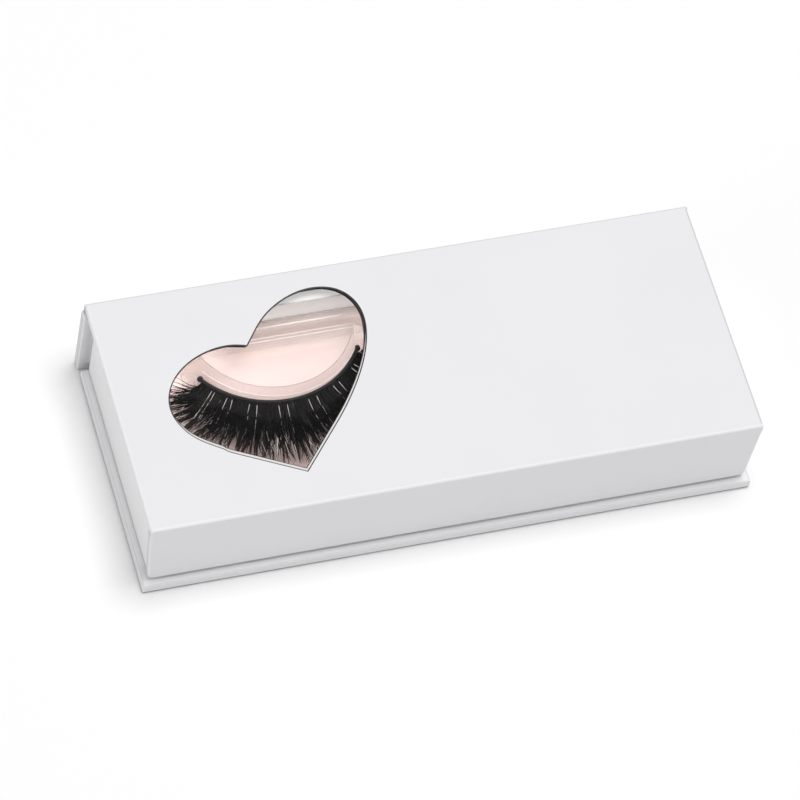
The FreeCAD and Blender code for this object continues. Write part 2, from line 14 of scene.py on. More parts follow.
import bmesh
import bpy
from mathutils import Matrix, Vector
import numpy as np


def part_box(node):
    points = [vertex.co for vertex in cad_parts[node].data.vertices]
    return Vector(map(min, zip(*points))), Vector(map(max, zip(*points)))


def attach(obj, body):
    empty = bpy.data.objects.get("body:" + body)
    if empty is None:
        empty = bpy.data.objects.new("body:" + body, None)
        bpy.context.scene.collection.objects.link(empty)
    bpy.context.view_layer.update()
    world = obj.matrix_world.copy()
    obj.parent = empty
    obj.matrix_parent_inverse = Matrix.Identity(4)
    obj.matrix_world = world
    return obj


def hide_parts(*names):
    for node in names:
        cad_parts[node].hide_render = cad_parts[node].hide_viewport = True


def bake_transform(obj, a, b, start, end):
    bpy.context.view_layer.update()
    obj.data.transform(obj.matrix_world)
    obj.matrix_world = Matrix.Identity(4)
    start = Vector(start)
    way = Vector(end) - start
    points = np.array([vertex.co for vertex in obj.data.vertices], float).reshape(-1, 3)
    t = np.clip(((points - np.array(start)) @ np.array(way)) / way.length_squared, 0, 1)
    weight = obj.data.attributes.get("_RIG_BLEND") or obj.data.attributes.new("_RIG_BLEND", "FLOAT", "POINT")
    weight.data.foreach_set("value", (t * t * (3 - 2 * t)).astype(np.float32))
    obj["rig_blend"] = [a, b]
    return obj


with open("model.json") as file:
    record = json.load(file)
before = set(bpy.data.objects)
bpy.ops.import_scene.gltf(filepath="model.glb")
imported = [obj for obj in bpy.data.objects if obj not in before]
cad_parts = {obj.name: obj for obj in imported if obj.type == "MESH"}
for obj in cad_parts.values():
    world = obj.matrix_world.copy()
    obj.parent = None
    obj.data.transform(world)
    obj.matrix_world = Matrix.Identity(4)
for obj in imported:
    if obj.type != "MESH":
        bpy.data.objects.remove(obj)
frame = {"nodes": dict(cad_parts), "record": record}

MM = 0.001
LOG = logging.getLogger("lash_case")

Mesh = bmesh.types.BMesh
Vert = bmesh.types.BMVert
Edge = bmesh.types.BMEdge
Face = bmesh.types.BMFace
Piece = bpy.types.Object
Socket = bpy.types.NodeSocket
Material = bpy.types.Material
Materials = dict[str, Material]
Pair = tuple[float, float]
Triple = tuple[float, float, float]
Colour = Triple
# Kinds of face to mark: direction, least cosine to it, share of the mark
Marks = tuple[tuple[Triple, float, float], ...]

# Face attributes: one holds painted shade on paper and board and the milky flange of the clear tray, the
# other painted highlight
SHADE_AND_MILK_LAYER = "shade_and_milk"
HIGHLIGHT_LAYER = "highlight_marks"
# Colours of painted shadow in the heart's cut, of painted shade on paper ends and edges, and of painted
# highlight on paper edges
CUT_SHADOW = (0.02, 0.019, 0.02)
PAINTED_SHADE = (0.15, 0.146, 0.142)
EDGE_HIGHLIGHT = (0.96, 0.96, 0.965)

# Part of the lid that holds the heart: lowest and highest X, lowest and highest Y
WINDOW_REGION = (-47.5, -6.0, -18.0, 22.0)
# Centre of the arc of each lash platform, left and right of the case's middle
PLATFORM_X = 22.6
PLATFORM_Y = 20.19

# Normals with a smaller Z belong to walls, and with a greater one to level faces
WALL = 0.6
NEARLY_LEVEL = 0.9
LEVEL = 0.99
# Least angle between two faces that counts as a corner
CORNER = math.radians(25.0)


class Side(Enum):
    """Which of the two lashes a piece belongs to, as a sign along the case's length."""

    LEFT = -1
    RIGHT = 1


class Value:
    """A number that changes over a surface: one float socket with Python's arithmetic."""

    def __init__(self, shader: "Shader", socket: Socket) -> None:
        """Keeps the socket and the shader that owns it."""
        self.shader = shader
        self.socket = socket

    def _math(self, operation: str, first: Any, second: Any = None) -> "Value":
        """Adds one Math node.

        Args:
            operation: Blender's name of the sum.
            first: Value or number for the first input.
            second: Value or number for the second input, or None.

        Returns:
            The node's result.
        """
        sockets = {0: first} if second is None else {0: first, 1: second}
        made = self.shader.node("ShaderNodeMath", sockets, operation=operation)
        return Value(self.shader, made.outputs[0])

    def __add__(self, other: Any) -> "Value":
        """Sum."""
        return self._math("ADD", self, other)

    __radd__ = __add__

    def __sub__(self, other: Any) -> "Value":
        """Difference."""
        return self._math("SUBTRACT", self, other)

    def __rsub__(self, other: Any) -> "Value":
        """Difference with a plain number on the left."""
        return self._math("SUBTRACT", other, self)

    def __mul__(self, other: Any) -> "Value":
        """Product."""
        return self._math("MULTIPLY", self, other)

    __rmul__ = __mul__

    def __pow__(self, other: Any) -> "Value":
        """Power."""
        return self._math("POWER", self, other)

    def __abs__(self) -> "Value":
        """Size without the sign."""
        return self._math("ABSOLUTE", self)

    def root(self) -> "Value":
        """Square root."""
        return self._math("SQRT", self)

    def sine(self) -> "Value":
        """Sine."""
        return self._math("SINE", self)

    def ramp(self, low: float, high: float) -> "Value":
        """Smooth step from 0 to 1.

        Args:
            low: Value at which the step begins.
            high: Value at which the step ends.

        Returns:
            The stepped value.
        """
        made = self.shader.node(
            "ShaderNodeMapRange",
            {"Value": self, "From Min": low, "From Max": high},
            interpolation_type="SMOOTHSTEP",
            clamp=True,
        )
        return Value(self.shader, made.outputs[0])


class Nodes:
    """A node tree that is built node by node."""

    def __init__(self, tree: bpy.types.NodeTree) -> None:
        """Empties the tree and keeps it."""
        self.tree = tree
        self.tree.nodes.clear()

    def node(
        self, kind: str, sockets: dict[str | int, Any] | None = None, **settings: Any
    ) -> bpy.types.Node:
        """Adds one node.

        Args:
            kind: Blender's type name of the node.
            sockets: Values or links of its inputs, by name or number.
            settings: Properties of the node, which are set first.

        Returns:
            The new node.
        """
        made = self.tree.nodes.new(kind)
        for key, value in settings.items():
            setattr(made, key, value)
        for key, value in (sockets or {}).items():
            self._put(made.inputs[key], value)
        return made

    def _put(self, socket: Socket, value: Any) -> None:
        """Links or sets one input.

        Args:
            socket: The input.
            value: A Value, an output socket, a number or a colour.
        """
        if isinstance(value, Value):
            value = value.socket
        if isinstance(value, Socket):
            self.tree.links.new(value, socket)
        elif socket.type == "RGBA":
            socket.default_value = (*value, 1.0)
        else:
            socket.default_value = value


class Shader(Nodes):
    """The node tree of one material."""

    def __init__(self, name: str) -> None:
        """Starts an empty material.

        Args:
            name: Name of the material.
        """
        self.material = bpy.data.materials.new(name)
        self.material.use_nodes = True
        super().__init__(self.material.node_tree)
        self.place = self.node("ShaderNodeTexCoord").outputs["Object"]

    def axes(self) -> tuple[Value, Value, Value]:
        """Object coordinates as three values, in metres."""
        made = self.node("ShaderNodeSeparateXYZ", {0: self.place})
        return tuple(Value(self, made.outputs[index]) for index in range(3))

    def attribute(self, name: str) -> Value:
        """Reads one of the mesh's own attributes."""
        made = self.node("ShaderNodeAttribute", attribute_name=name)
        return Value(self, made.outputs["Fac"])

    def noise(
        self, size: float, detail: float = 2.0, rough: float = 0.5, stretch: Triple | None = None
    ) -> Value:
        """Cloudy noise.

        Args:
            size: Width of its features in millimetres.
            detail: Number of finer layers.
            rough: Share of the finer layers.
            stretch: Scale along each axis, or None for an even pattern.

        Returns:
            Noise from 0 to 1, around 0.5.
        """
        place = self.place
        if stretch is not None:
            place = self.node("ShaderNodeMapping", {"Vector": place, "Scale": stretch}).outputs[0]
        sockets = {"Vector": place, "Scale": 1.0 / (size * MM), "Detail": detail, "Roughness": rough}
        return Value(self, self.node("ShaderNodeTexNoise", sockets).outputs[0])

    def strip(self, border: float, skew: float, blur: float) -> Value:
        """Marks what lies behind a line along the case.

        Args:
            border: Y of the line at the case's middle, in millimetres.
            skew: How far the line comes forward for each millimetre to the side.
            blur: Half the width of its soft edge, in millimetres.

        Returns:
            0 in front of the line and 1 behind it.
        """
        across, along, _ = self.axes()
        slanted = along + abs(across) * skew
        return slanted.ramp((border - blur) * MM, (border + blur) * MM)

    def mix(self, factor: Any, first: Any, second: Any) -> Socket:
        """Mixes two colours.

        Args:
            factor: Share of the second colour.
            first: Colour or socket.
            second: Colour or socket.

        Returns:
            The colour socket.
        """
        made = self.node("ShaderNodeMix", {0: factor, 6: first, 7: second}, data_type="RGBA")
        return made.outputs[2]

    def bump(self, height: Value, distance: float, strength: float = 1.0) -> Socket:
        """Turns a height into a normal.

        Args:
            height: Height from 0 to 1.
            distance: What a height of 1 stands for, in millimetres.
            strength: Share of the effect.

        Returns:
            The normal socket.
        """
        sockets = {"Strength": strength, "Distance": distance * MM, "Height": height}
        return self.node("ShaderNodeBump", sockets).outputs[0]

    def coat(self, sockets: dict[str, Any]) -> Socket:
        """Adds a Principled BSDF with these inputs."""
        return self.node("ShaderNodeBsdfPrincipled", sockets).outputs[0]

    def closed(self, surface: Socket) -> Material:
        """Links the finished surface and returns the material."""
        self.node("ShaderNodeOutputMaterial", {"Surface": surface})
        return self.material

    def coated(self, sockets: dict[str, Any]) -> Material:
        """Finishes the material with a Principled BSDF."""
        return self.closed(self.coat(sockets))


@dataclass(frozen=True)
class PaperFinish:
    """Matt laminated paper with a faint felt, and painted shade and painted highlight where its mesh marks
    them.
    """

    name: str
    colour: Colour
    shade: Colour
    roughness: float = 0.42
    gloss: float = 0.4
    felt: float = 0.003
    shade_and_milk: Colour = PAINTED_SHADE

    def material(self) -> Material:
        """Builds the paper.

        Returns:
            The material.
        """
        shader = Shader(self.name)
        cloud = shader.noise(24.0, 3.0, 0.55)
        felt = shader.noise(0.35, 4.0, 0.6)
        peel = shader.noise(1.6)
        mask = cloud.ramp(0.35, 0.75) * 0.6 + felt.ramp(0.45, 0.8) * 0.4
        tone = shader.mix(mask, self.colour, self.shade)
        # Painted shade on marked faces, then painted highlight on marked edges
        tone = shader.mix(shader.attribute(SHADE_AND_MILK_LAYER), tone, self.shade_and_milk)
        return shader.coated(
            {
                "Base Color": shader.mix(shader.attribute(HIGHLIGHT_LAYER), tone, EDGE_HIGHLIGHT),
                "Roughness": self.roughness + 0.07 * peel,
                "Specular IOR Level": self.gloss,
                "Normal": shader.bump(felt * 0.55 + peel * 0.45, self.felt),
            }
        )


@dataclass(frozen=True)
class BoardFinish:
    """Pressed board at a cut edge: layers of fibre with paler and darker specks."""

    name: str
    colour: Colour
    speck: Colour

    def material(self) -> Material:
        """Builds the board.

        Returns:
            The material.
        """
        shader = Shader(self.name)
        layers = shader.noise(0.6, 3.0, 0.6, (0.5, 0.5, 4.0))
        specks = shader.noise(0.22, 4.0, 0.7)
        mask = specks.ramp(0.5, 0.72) * 0.6 + layers.ramp(0.4, 0.7) * 0.4
        tone = shader.mix(mask, self.colour, self.speck)
        return shader.coated(
            {
                # Marked faces round the heart are painted near black: painted shadow in the cut
                "Base Color": shader.mix(shader.attribute(SHADE_AND_MILK_LAYER), tone, CUT_SHADOW),
                "Roughness": 0.85,
                "Normal": shader.bump(layers * 0.6 + specks * 0.4, 0.03),
            }
        )


@dataclass(frozen=True)
class CardFinish:
    """Satin pale rose card with a beige strip along its back: painted light and shade, whose line stands in
    for a line of shade there and which is paler to offset dimmer light at the back.
    """

    name: str
    rose: Colour
    beige: Colour
    border: float
    skew: float
    blur: float

    def material(self) -> Material:
        """Builds the card.

        Returns:
            The material.
        """
        shader = Shader(self.name)
        cloud = shader.noise(9.0)
        grain = shader.noise(0.3, 3.0, 0.6)
        # The back strip is painted light and shade
        tone = shader.mix(shader.strip(self.border, self.skew, self.blur), self.rose, self.beige)
        deep = tuple(0.95 * channel for channel in self.rose)
        return shader.coated(
            {
                "Base Color": shader.mix(cloud.ramp(0.4, 0.8) * 0.3 + grain * 0.08, tone, deep),
                "Roughness": 0.34 + 0.1 * grain,
                "Specular IOR Level": 0.5,
                "Normal": shader.bump(grain, 0.003),
            }
        )


@dataclass(frozen=True)
class ClearFinish:
    """Thin clear plastic: light passes straight through, and its folds and edges turn milky."""

    name: str
    tint: Colour
    body: Colour
    milk: float
    rim: float
    roughness: float
    ripple: float
    rear: Colour | None = None
    border: float = 12.08
    skew: float = 0.03
    blur: float = 0.1

    def material(self) -> Material:
        """Builds the plastic.

        Returns:
            The material.
        """
        shader = Shader(self.name)
        wave = shader.noise(7.0)
        scuff = shader.noise(0.8, 4.0, 0.65, (1.0, 0.25, 1.0))
        facing = Value(shader, shader.node("ShaderNodeLayerWeight", {"Blend": 0.35}).outputs[1])
        through = shader.node("ShaderNodeBsdfTransparent", {"Color": self.tint})
        body = self.body
        # A paler body behind the line is painted light and shade, the same step as the card's
        if self.rear:
            body = shader.mix(shader.strip(self.border, self.skew, self.blur), self.body, self.rear)
        plastic = shader.coat(
            {
                "Base Color": body,
                "Roughness": self.roughness + 0.08 * scuff,
                "Specular IOR Level": 0.6,
                "Normal": shader.bump(wave * 0.8 + scuff * 0.2, self.ripple),
            }
        )
        share = self.milk + self.rim * facing**2.0 + 0.02 * scuff.ramp(0.55, 0.8)
        share = share + 0.55 * shader.attribute(SHADE_AND_MILK_LAYER)
        mixed = shader.node("ShaderNodeMixShader", {0: share, 1: through.outputs[0], 2: plastic})
        return shader.closed(mixed.outputs[0])


@dataclass(frozen=True)
class MagnetFinish:
    """Nickel plated magnet with fine turning marks."""

    name: str
    colour: Colour = (0.72, 0.71, 0.69)

    def material(self) -> Material:
        """Builds the nickel.

        Returns:
            The material.
        """
        shader = Shader(self.name)
        marks = shader.noise(0.25, 3.0, 0.6, (1.0, 1.0, 5.0))
        dull = tuple(0.8 * channel for channel in self.colour)
        return shader.coated(
            {
                "Base Color": shader.mix(marks.ramp(0.4, 0.7), self.colour, dull),
                "Metallic": 1.0,
                "Roughness": 0.2 + 0.2 * marks,
                "Normal": shader.bump(marks, 0.004),
            }
        )


@dataclass(frozen=True)
class ThreadFinish:
    """Black cotton band with the fine turns of the thread that binds the hairs."""

    name: str
    colour: Colour = (0.004, 0.004, 0.0045)
    fuzz: Colour = (0.02, 0.019, 0.02)
    turn: float = 0.35

    def material(self) -> Material:
        """Builds the thread.

        Returns:
            The material.
        """
        shader = Shader(self.name)
        along, _, _ = shader.axes()
        turns = (along * (2 * math.pi / (self.turn * MM))).sine() * 0.5 + 0.5
        fuzz = shader.noise(0.15, 3.0, 0.6)
        return shader.coated(
            {
                "Base Color": shader.mix(fuzz.ramp(0.5, 0.8) * 0.5, self.colour, self.fuzz),
                "Roughness": 0.5 + 0.25 * fuzz,
                "Normal": shader.bump(turns * 0.7 + fuzz * 0.3, 0.05),
            }
        )


@dataclass(frozen=True)
class HairFinish:
    """Satin fibre: near black at the root, brown where the tip thins."""

    name: str
    root: Colour
    tip: Colour
    start: float
    end: float

    def material(self) -> Material:
        """Builds the hair, whose colour follows the distance from its platform's centre.

        Returns:
            The material.
        """
        shader = Shader(self.name)
        across, along, _ = shader.axes()
        aside = abs(across) - PLATFORM_X * MM
        depth = along - PLATFORM_Y * MM
        fade = (aside**2.0 + depth**2.0).root().ramp(self.start * MM, self.end * MM)
        streak = shader.noise(0.5)
        return shader.coated(
            {
                "Base Color": shader.mix(fade * (0.7 + 0.5 * streak), self.root, self.tip),
                "Roughness": 0.4 + 0.14 * streak,
                "Specular IOR Level": 0.14,
                "Normal": shader.bump(streak, 0.01, 0.5),
            }
        )


@dataclass(frozen=True)
class FloorFinish:
    """Plain pale studio floor."""

    name: str

    def material(self) -> Material:
        """Builds the floor.

        Returns:
            The material.
        """
        shader = Shader(self.name)
        return shader.coated(
            {
                "Base Color": shader.mix(shader.noise(60.0), (0.965, 0.965, 0.965), (0.975, 0.975, 0.975)),
                "Roughness": 0.9,
                "Specular IOR Level": 0.1,
            }
        )


def build_materials() -> Materials:
    """Builds every finish of the case.

    Returns:
        Material by the record's slot, with those that only this scene tells apart.
    """
    cover = (0.812, 0.812, 0.832), (0.793, 0.793, 0.812)
    lining = (0.83, 0.83, 0.84), (0.79, 0.79, 0.80), 0.75, 0.2, 0.008
    # The tray paper's last colour is the painted shade of its inner walls
    tray = (0.84, 0.84, 0.85), (0.82, 0.82, 0.83), 0.5, 0.35, 0.004, (0.79, 0.775, 0.77)
    fibre = (0.66, 0.61, 0.585), (0.45, 0.395, 0.375), 0.25, 0.8, 0.002
    film = (0.995, 0.995, 0.995), (0.9, 0.9, 0.9), 0.002, 0.08, 0.04, 0.001
    # The blister's last colour, paler behind a line, is painted light and shade
    blister = (0.99, 0.975, 0.97), (0.79, 0.67, 0.65), 0.22, 0.55, 0.16, 0.002, (0.83, 0.715, 0.68)
    wanted = {
        "case_wrap": PaperFinish("cover_paper", *cover),
        "window_paper": PaperFinish("window_cover_paper", *cover, shade_and_milk=CUT_SHADOW),
        "window_board": BoardFinish("window_board", (0.80, 0.79, 0.78), (0.68, 0.67, 0.66)),
        "case_lining": PaperFinish("lining_paper", *lining),
        "window_lining": PaperFinish("window_lining_paper", *lining, shade_and_milk=CUT_SHADOW),
        "greyboard": BoardFinish("grey_board", (0.62, 0.61, 0.60), (0.47, 0.46, 0.45)),
        "clear_film": ClearFinish("window_film", *film),
        "magnet": MagnetFinish("nickel_magnet"),
        "tray_paper": PaperFinish("tray_paper", *tray),
        # The card's beige back strip is painted light and shade
        "pink_card": CardFinish("rose_card", (0.74, 0.605, 0.585), (0.82, 0.68, 0.64), 14.38, 0.03, 0.12),
        "clear_tray": ClearFinish("clear_tray", *blister),
        # Milky white beads: real ridges whose whiteness is painted highlight
        "bead": ClearFinish("milky_bead_highlight", (0.99, 0.98, 0.98), (0.90, 0.84, 0.83), 0.45, 0.4, 0.2, 0.001),
        "crease": ClearFinish("clear_crease", (0.9, 0.86, 0.85), (0.60, 0.53, 0.52), 0.5, 0.3, 0.3, 0.001),
        "lash_band": ThreadFinish("band_thread"),
        "lash_hair": HairFinish("lash_fibre", (0.003, 0.0028, 0.003), (0.032, 0.018, 0.015), 24.5, 31.0),
        # Pale fibres that stand in for glints on the hair: painted highlights
        "pale_glint": PaperFinish("pale_glint_fibre", *fibre),
    }
    return {slot: finish.material() for slot, finish in wanted.items()}


def least_width(edge: Edge) -> float:
    """Shorter distance that the two faces beside an edge stretch away from it.

    Args:
        edge: Edge with two faces.

    Returns:
        Distance in metres.
    """
    start = edge.verts[0].co
    along = (edge.verts[1].co - start).normalized()
    widths = []
    for face in edge.link_faces:
        away = [vert.co - start for vert in face.verts]
        widths.append(max((step - along * step.dot(along)).length for step in away))
    return min(widths)


def middle_of(edge: Edge) -> Vector:
    """Middle of an edge."""
    return (edge.verts[0].co + edge.verts[1].co) / 2


def in_window(place: Vector) -> bool:
    """Tests whether a place lies within the heart's rectangle."""
    low_x, high_x, low_y, high_y = (edge * MM for edge in WINDOW_REGION)
    return low_x < place.x < high_x and low_y < place.y < high_y


def is_heart_wall(face: Face) -> bool:
    """Tests whether a face is part of the heart's cut."""
    return abs(face.normal.z) < WALL and in_window(face.calc_center_median())


def bent_chord(start: Vector, end: Vector, leave: Vector, arrive: Vector, share: float) -> Vector:
    """Point on a smooth curve over one chord.

    Args:
        start: First end.
        end: Second end.
        leave: Direction of the curve at the first end.
        arrive: Direction of the curve at the second end.
        share: Place along the chord, from 0 to 1.

    Returns:
        The point.
    """
    span = (end - start).length
    square = share**2
    cube = share**3
    from_start = start * (2 * cube - 3 * square + 1) + leave * span * (cube - 2 * square + share)
    from_end = end * (3 * square - 2 * cube) + arrive * span * (cube - square)
    return from_start + from_end


def settle(piece: Piece, body: str, stands_for: Iterable[str] = ()) -> None:
    """Puts a piece on its body and reports it.

    Args:
        piece: The finished piece.
        body: CAD body that it rides.
        stands_for: CAD nodes that it replaces.
    """
    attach(piece, body)
    if stands_for:
        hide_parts(*stands_for)
    LOG.info("%s rides %s, %d faces", piece.name, body, len(piece.data.polygons))


class Form:
    """A piece in the making: one bmesh, with the steps that several sub-assemblies share."""

    def __init__(self, node: str = "", merge: float = 0.001, flat: float = 0.5) -> None:
        """Starts empty, or as a merged copy of a CAD node whose flat sides are whole faces.

        Args:
            node: Name of the CAD node, if any.
            merge: Distance within which corners are one, in millimetres.
            flat: Degrees below which two faces are one.
        """
        self.mesh = mesh = bmesh.new()
        if node:
            mesh.from_mesh(frame["nodes"][node].data)
            bmesh.ops.remove_doubles(mesh, verts=mesh.verts, dist=merge * MM)
            limit = math.radians(flat)
            bmesh.ops.dissolve_limit(mesh, angle_limit=limit, verts=mesh.verts, edges=mesh.edges)
            mesh.normal_update()

    def outer_edges(self, wide: float, keep_sharp: Callable[[Vector], bool] | None = None) -> list[Edge]:
        """Finds the outward corners between broad faces.

        Args:
            wide: Least width of a broad face, in millimetres.
            keep_sharp: Test on an edge's middle that leaves the edge as it is.

        Returns:
            The edges.
        """
        found = []
        for edge in self.mesh.edges:
            if len(edge.link_faces) != 2 or edge.calc_face_angle_signed(0.0) < CORNER:
                continue
            if least_width(edge) >= wide * MM and not (keep_sharp and keep_sharp(middle_of(edge))):
                found.append(edge)
        return found

    def window_edges(self, both: bool = False) -> list[Edge]:
        """Finds the edges round the heart cut in a lid sheet.

        Args:
            both: True for the lower edges as well as the upper ones.

        Returns:
            The edges.
        """
        found = []
        for edge in self.mesh.edges:
            if len(edge.link_faces) != 2 or not in_window(middle_of(edge)):
                continue
            wall, level = sorted((face.normal.z for face in edge.link_faces), key=abs)
            if abs(wall) < WALL and (level > LEVEL or both and level < -LEVEL):
                found.append(edge)
        return found

    def smooth_window(self, step: float = 0.4, straight: float = 3.0, kink: float = 30.0) -> None:
        """Adds points round the heart, on a smooth curve through the points that are there.

        Args:
            step: Length of the new chords in millimetres.
            straight: Chords longer than this many millimetres are straight sides.
            kink: Turns of more degrees than this stay sharp.
        """
        mesh = self.mesh
        ring = self.window_edges(both=True)
        beside: dict[Vert, list[Vert]] = {}
        for edge in ring:
            first, second = edge.verts
            beside.setdefault(first, []).append(second)
            beside.setdefault(second, []).append(first)
        places = {vert: vert.co.copy() for vert in beside}

        def direction(vert: Vert, onward: Vert) -> Vector:
            """Direction of the curve at a point, towards one of its neighbours."""
            ahead = places[onward] - places[vert]
            behind = [places[vert] - places[other] for other in beside[vert] if other is not onward]
            if not behind or ahead.angle(behind[0]) > math.radians(kink) or ahead.length > straight * MM:
                return ahead.normalized()
            if behind[0].length > straight * MM:
                return behind[0].normalized()
            spans = ahead.length, behind[0].length
            return (ahead.normalized() * spans[1] + behind[0].normalized() * spans[0]).normalized()

        walls = [face for face in mesh.faces if is_heart_wall(face)]
        bmesh.ops.delete(mesh, geom=walls, context="FACES")
        rings = set(ring)
        for edge in ring:
            vert, last = edge.verts
            span = edge.calc_length()
            cuts = int(span / (step * MM)) if span < straight * MM else 0
            curve = (places[vert], places[last], direction(vert, last), -direction(last, vert))
            for cut in range(cuts):
                part, vert = bmesh.utils.edge_split(edge, vert, 1.0 / (cuts + 1 - cut))
                rings.add(part)
                vert.co = bent_chord(*curve, (cut + 1) / (cuts + 1))
        bmesh.ops.bridge_loops(mesh, edges=list(rings))
        bmesh.ops.recalc_face_normals(mesh, faces=mesh.faces)
        mesh.normal_update()

    def round_off(
        self, edges: list[Edge], radius: float, segments: int = 4, clamp: bool = True
    ) -> list[Face]:
        """Rounds edges, or breaks them with a single segment.

        Args:
            edges: The edges.
            radius: Radius in millimetres.
            segments: Number of faces across the curve.
            clamp: True to hold neighbouring curves apart.

        Returns:
            The new faces.
        """
        made = bmesh.ops.bevel(
            self.mesh,
            geom=edges,
            offset=radius * MM,
            offset_type="OFFSET",
            affect="EDGES",
            segments=segments,
            profile=0.5,
            clamp_overlap=clamp,
            material=-1,
        )
        return made["faces"]

    def mark(self, share: float, chosen: Callable[[Face], bool], name: str = SHADE_AND_MILK_LAYER) -> None:
        """Marks the faces that pass a test.

        Args:
            share: Share of the mark; a stronger one stays.
            chosen: The test.
            name: Layer that holds the mark.
        """
        self.mesh.normal_update()
        layers = self.mesh.faces.layers.float
        layer = layers.get(name) or layers.new(name)
        for face in self.mesh.faces:
            if chosen(face):
                face[layer] = max(face[layer], share)

    def mark_facing(self, marks: Marks, name: str = SHADE_AND_MILK_LAYER) -> None:
        """Marks faces that look a given way, for painted shade and painted highlight on ends and rounded
        edges, but none in the window.

        Args:
            marks: The kinds of face.
            name: Layer that holds the mark.
        """
        for direction, least, share in marks:
            toward = Vector(direction).normalized()

            def faces_it(face: Face) -> bool:
                """Tests whether a face looks that way."""
                return face.normal.dot(toward) > least and not in_window(face.calc_center_median())

            self.mark(share, faces_it, name)

    def shade_cut(self, width: float, slope: float = 0.4) -> None:
        """Breaks the heart's upper edge and marks the whole cut, whose paper and board are painted near
        black as shadow in the cut.

        Args:
            width: Width of the broken edge in millimetres.
            slope: Depth of the broken edge as a share of its width.
        """
        cut = self.mesh.faces.layers.float.new(SHADE_AND_MILK_LAYER)
        broken = self.round_off(self.window_edges(), width, 1, clamp=False)
        for face in broken:
            face[cut] = 1.0
        rim = {vert for face in broken for vert in face.verts}
        top = max(vert.co.z for vert in rim)
        for vert in rim:
            vert.co.z = top - (top - vert.co.z) * slope
        self.mark(1.0, is_heart_wall)

    def piece(self, name: str, material: Material, angle: float = 32.0, even: bool = False) -> Piece:
        """Turns the form, which is freed, into an object at the origin.

        Args:
            name: Name of the piece.
            material: Its material.
            angle: Edges sharper than this many degrees stay crisp.
            even: True where the broad faces set the normals, so that rounded edges shade evenly.

        Returns:
            The object.
        """
        data = bpy.data.meshes.new(name)
        self.mesh.to_mesh(data)
        self.mesh.free()
        data.shade_smooth()
        data.set_sharp_from_angle(angle=math.radians(angle))
        data.materials.append(material)
        made = bpy.data.objects.new(name, data)
        bpy.context.scene.collection.objects.link(made)
        if even:
            weighted = made.modifiers.new("even_shading", "WEIGHTED_NORMAL")
            weighted.mode = "FACE_AREA"
            weighted.weight = 100
            weighted.keep_sharp = True
        return made


@dataclass
class Panel:
    """One sheet of a panel: its paper with softly turned edges, or the lid's board or lining."""

    node: str
    body: str
    radius: float
    butt: tuple[tuple[str, float], ...] = ()
    finish: str = "case_wrap"
    slot: str = "case_wrap"
    window: bool = False
    chamfer: float = 0.2
    bed: float = 0.0
    bed_depth: float = 0.1
    reach: float = 0.0
    wide: float = 1.0
    shade_marks: Marks = ()
    highlight_marks: Marks = ()

    def _keeps_sharp(self, middle: Vector) -> bool:
        """Tests whether the middle of an edge lies on a side where a fold strip butts against the panel."""
        return any(abs(getattr(middle, axis) - place * MM) < 0.02 * MM for axis, place in self.butt)

    def _lengthen(self, mesh: Mesh) -> None:
        """Moves the sheet's back end further back, by its reach.

        Args:
            mesh: The sheet's mesh.
        """
        back = max(vert.co.y for vert in mesh.verts)
        for vert in mesh.verts:
            if vert.co.y > back - 0.01 * MM:
                vert.co.y += self.reach * MM

    def _cut_window(self, form: Form) -> None:
        """Finishes the heart, and darkens the sunk bed that the window film is glued to as painted shade
        round the window, if there is one.

        Args:
            form: The sheet.
        """
        form.smooth_window()
        form.shade_cut(self.chamfer)
        high = max(vert.co.z for vert in form.mesh.verts) - self.bed_depth * MM
        form.mark(self.bed, lambda face: face.normal.z > NEARLY_LEVEL and face.calc_center_median().z < high)

    def build(self, materials: Materials) -> None:
        """Builds the sheet.

        Args:
            materials: Material by slot.
        """
        form = Form(self.node)
        self._lengthen(form.mesh)
        if self.window:
            self._cut_window(form)
        if self.radius > 0.0:
            form.round_off(form.outer_edges(self.wide, self._keeps_sharp), self.radius)
        form.mark_facing(self.shade_marks)
        form.mark_facing(self.highlight_marks, HIGHLIGHT_LAYER)
        name = self.node.replace("wrap", "cover") + "_sheet"
        settle(form.piece(name, materials[self.finish], even=True), self.body, [self.node])


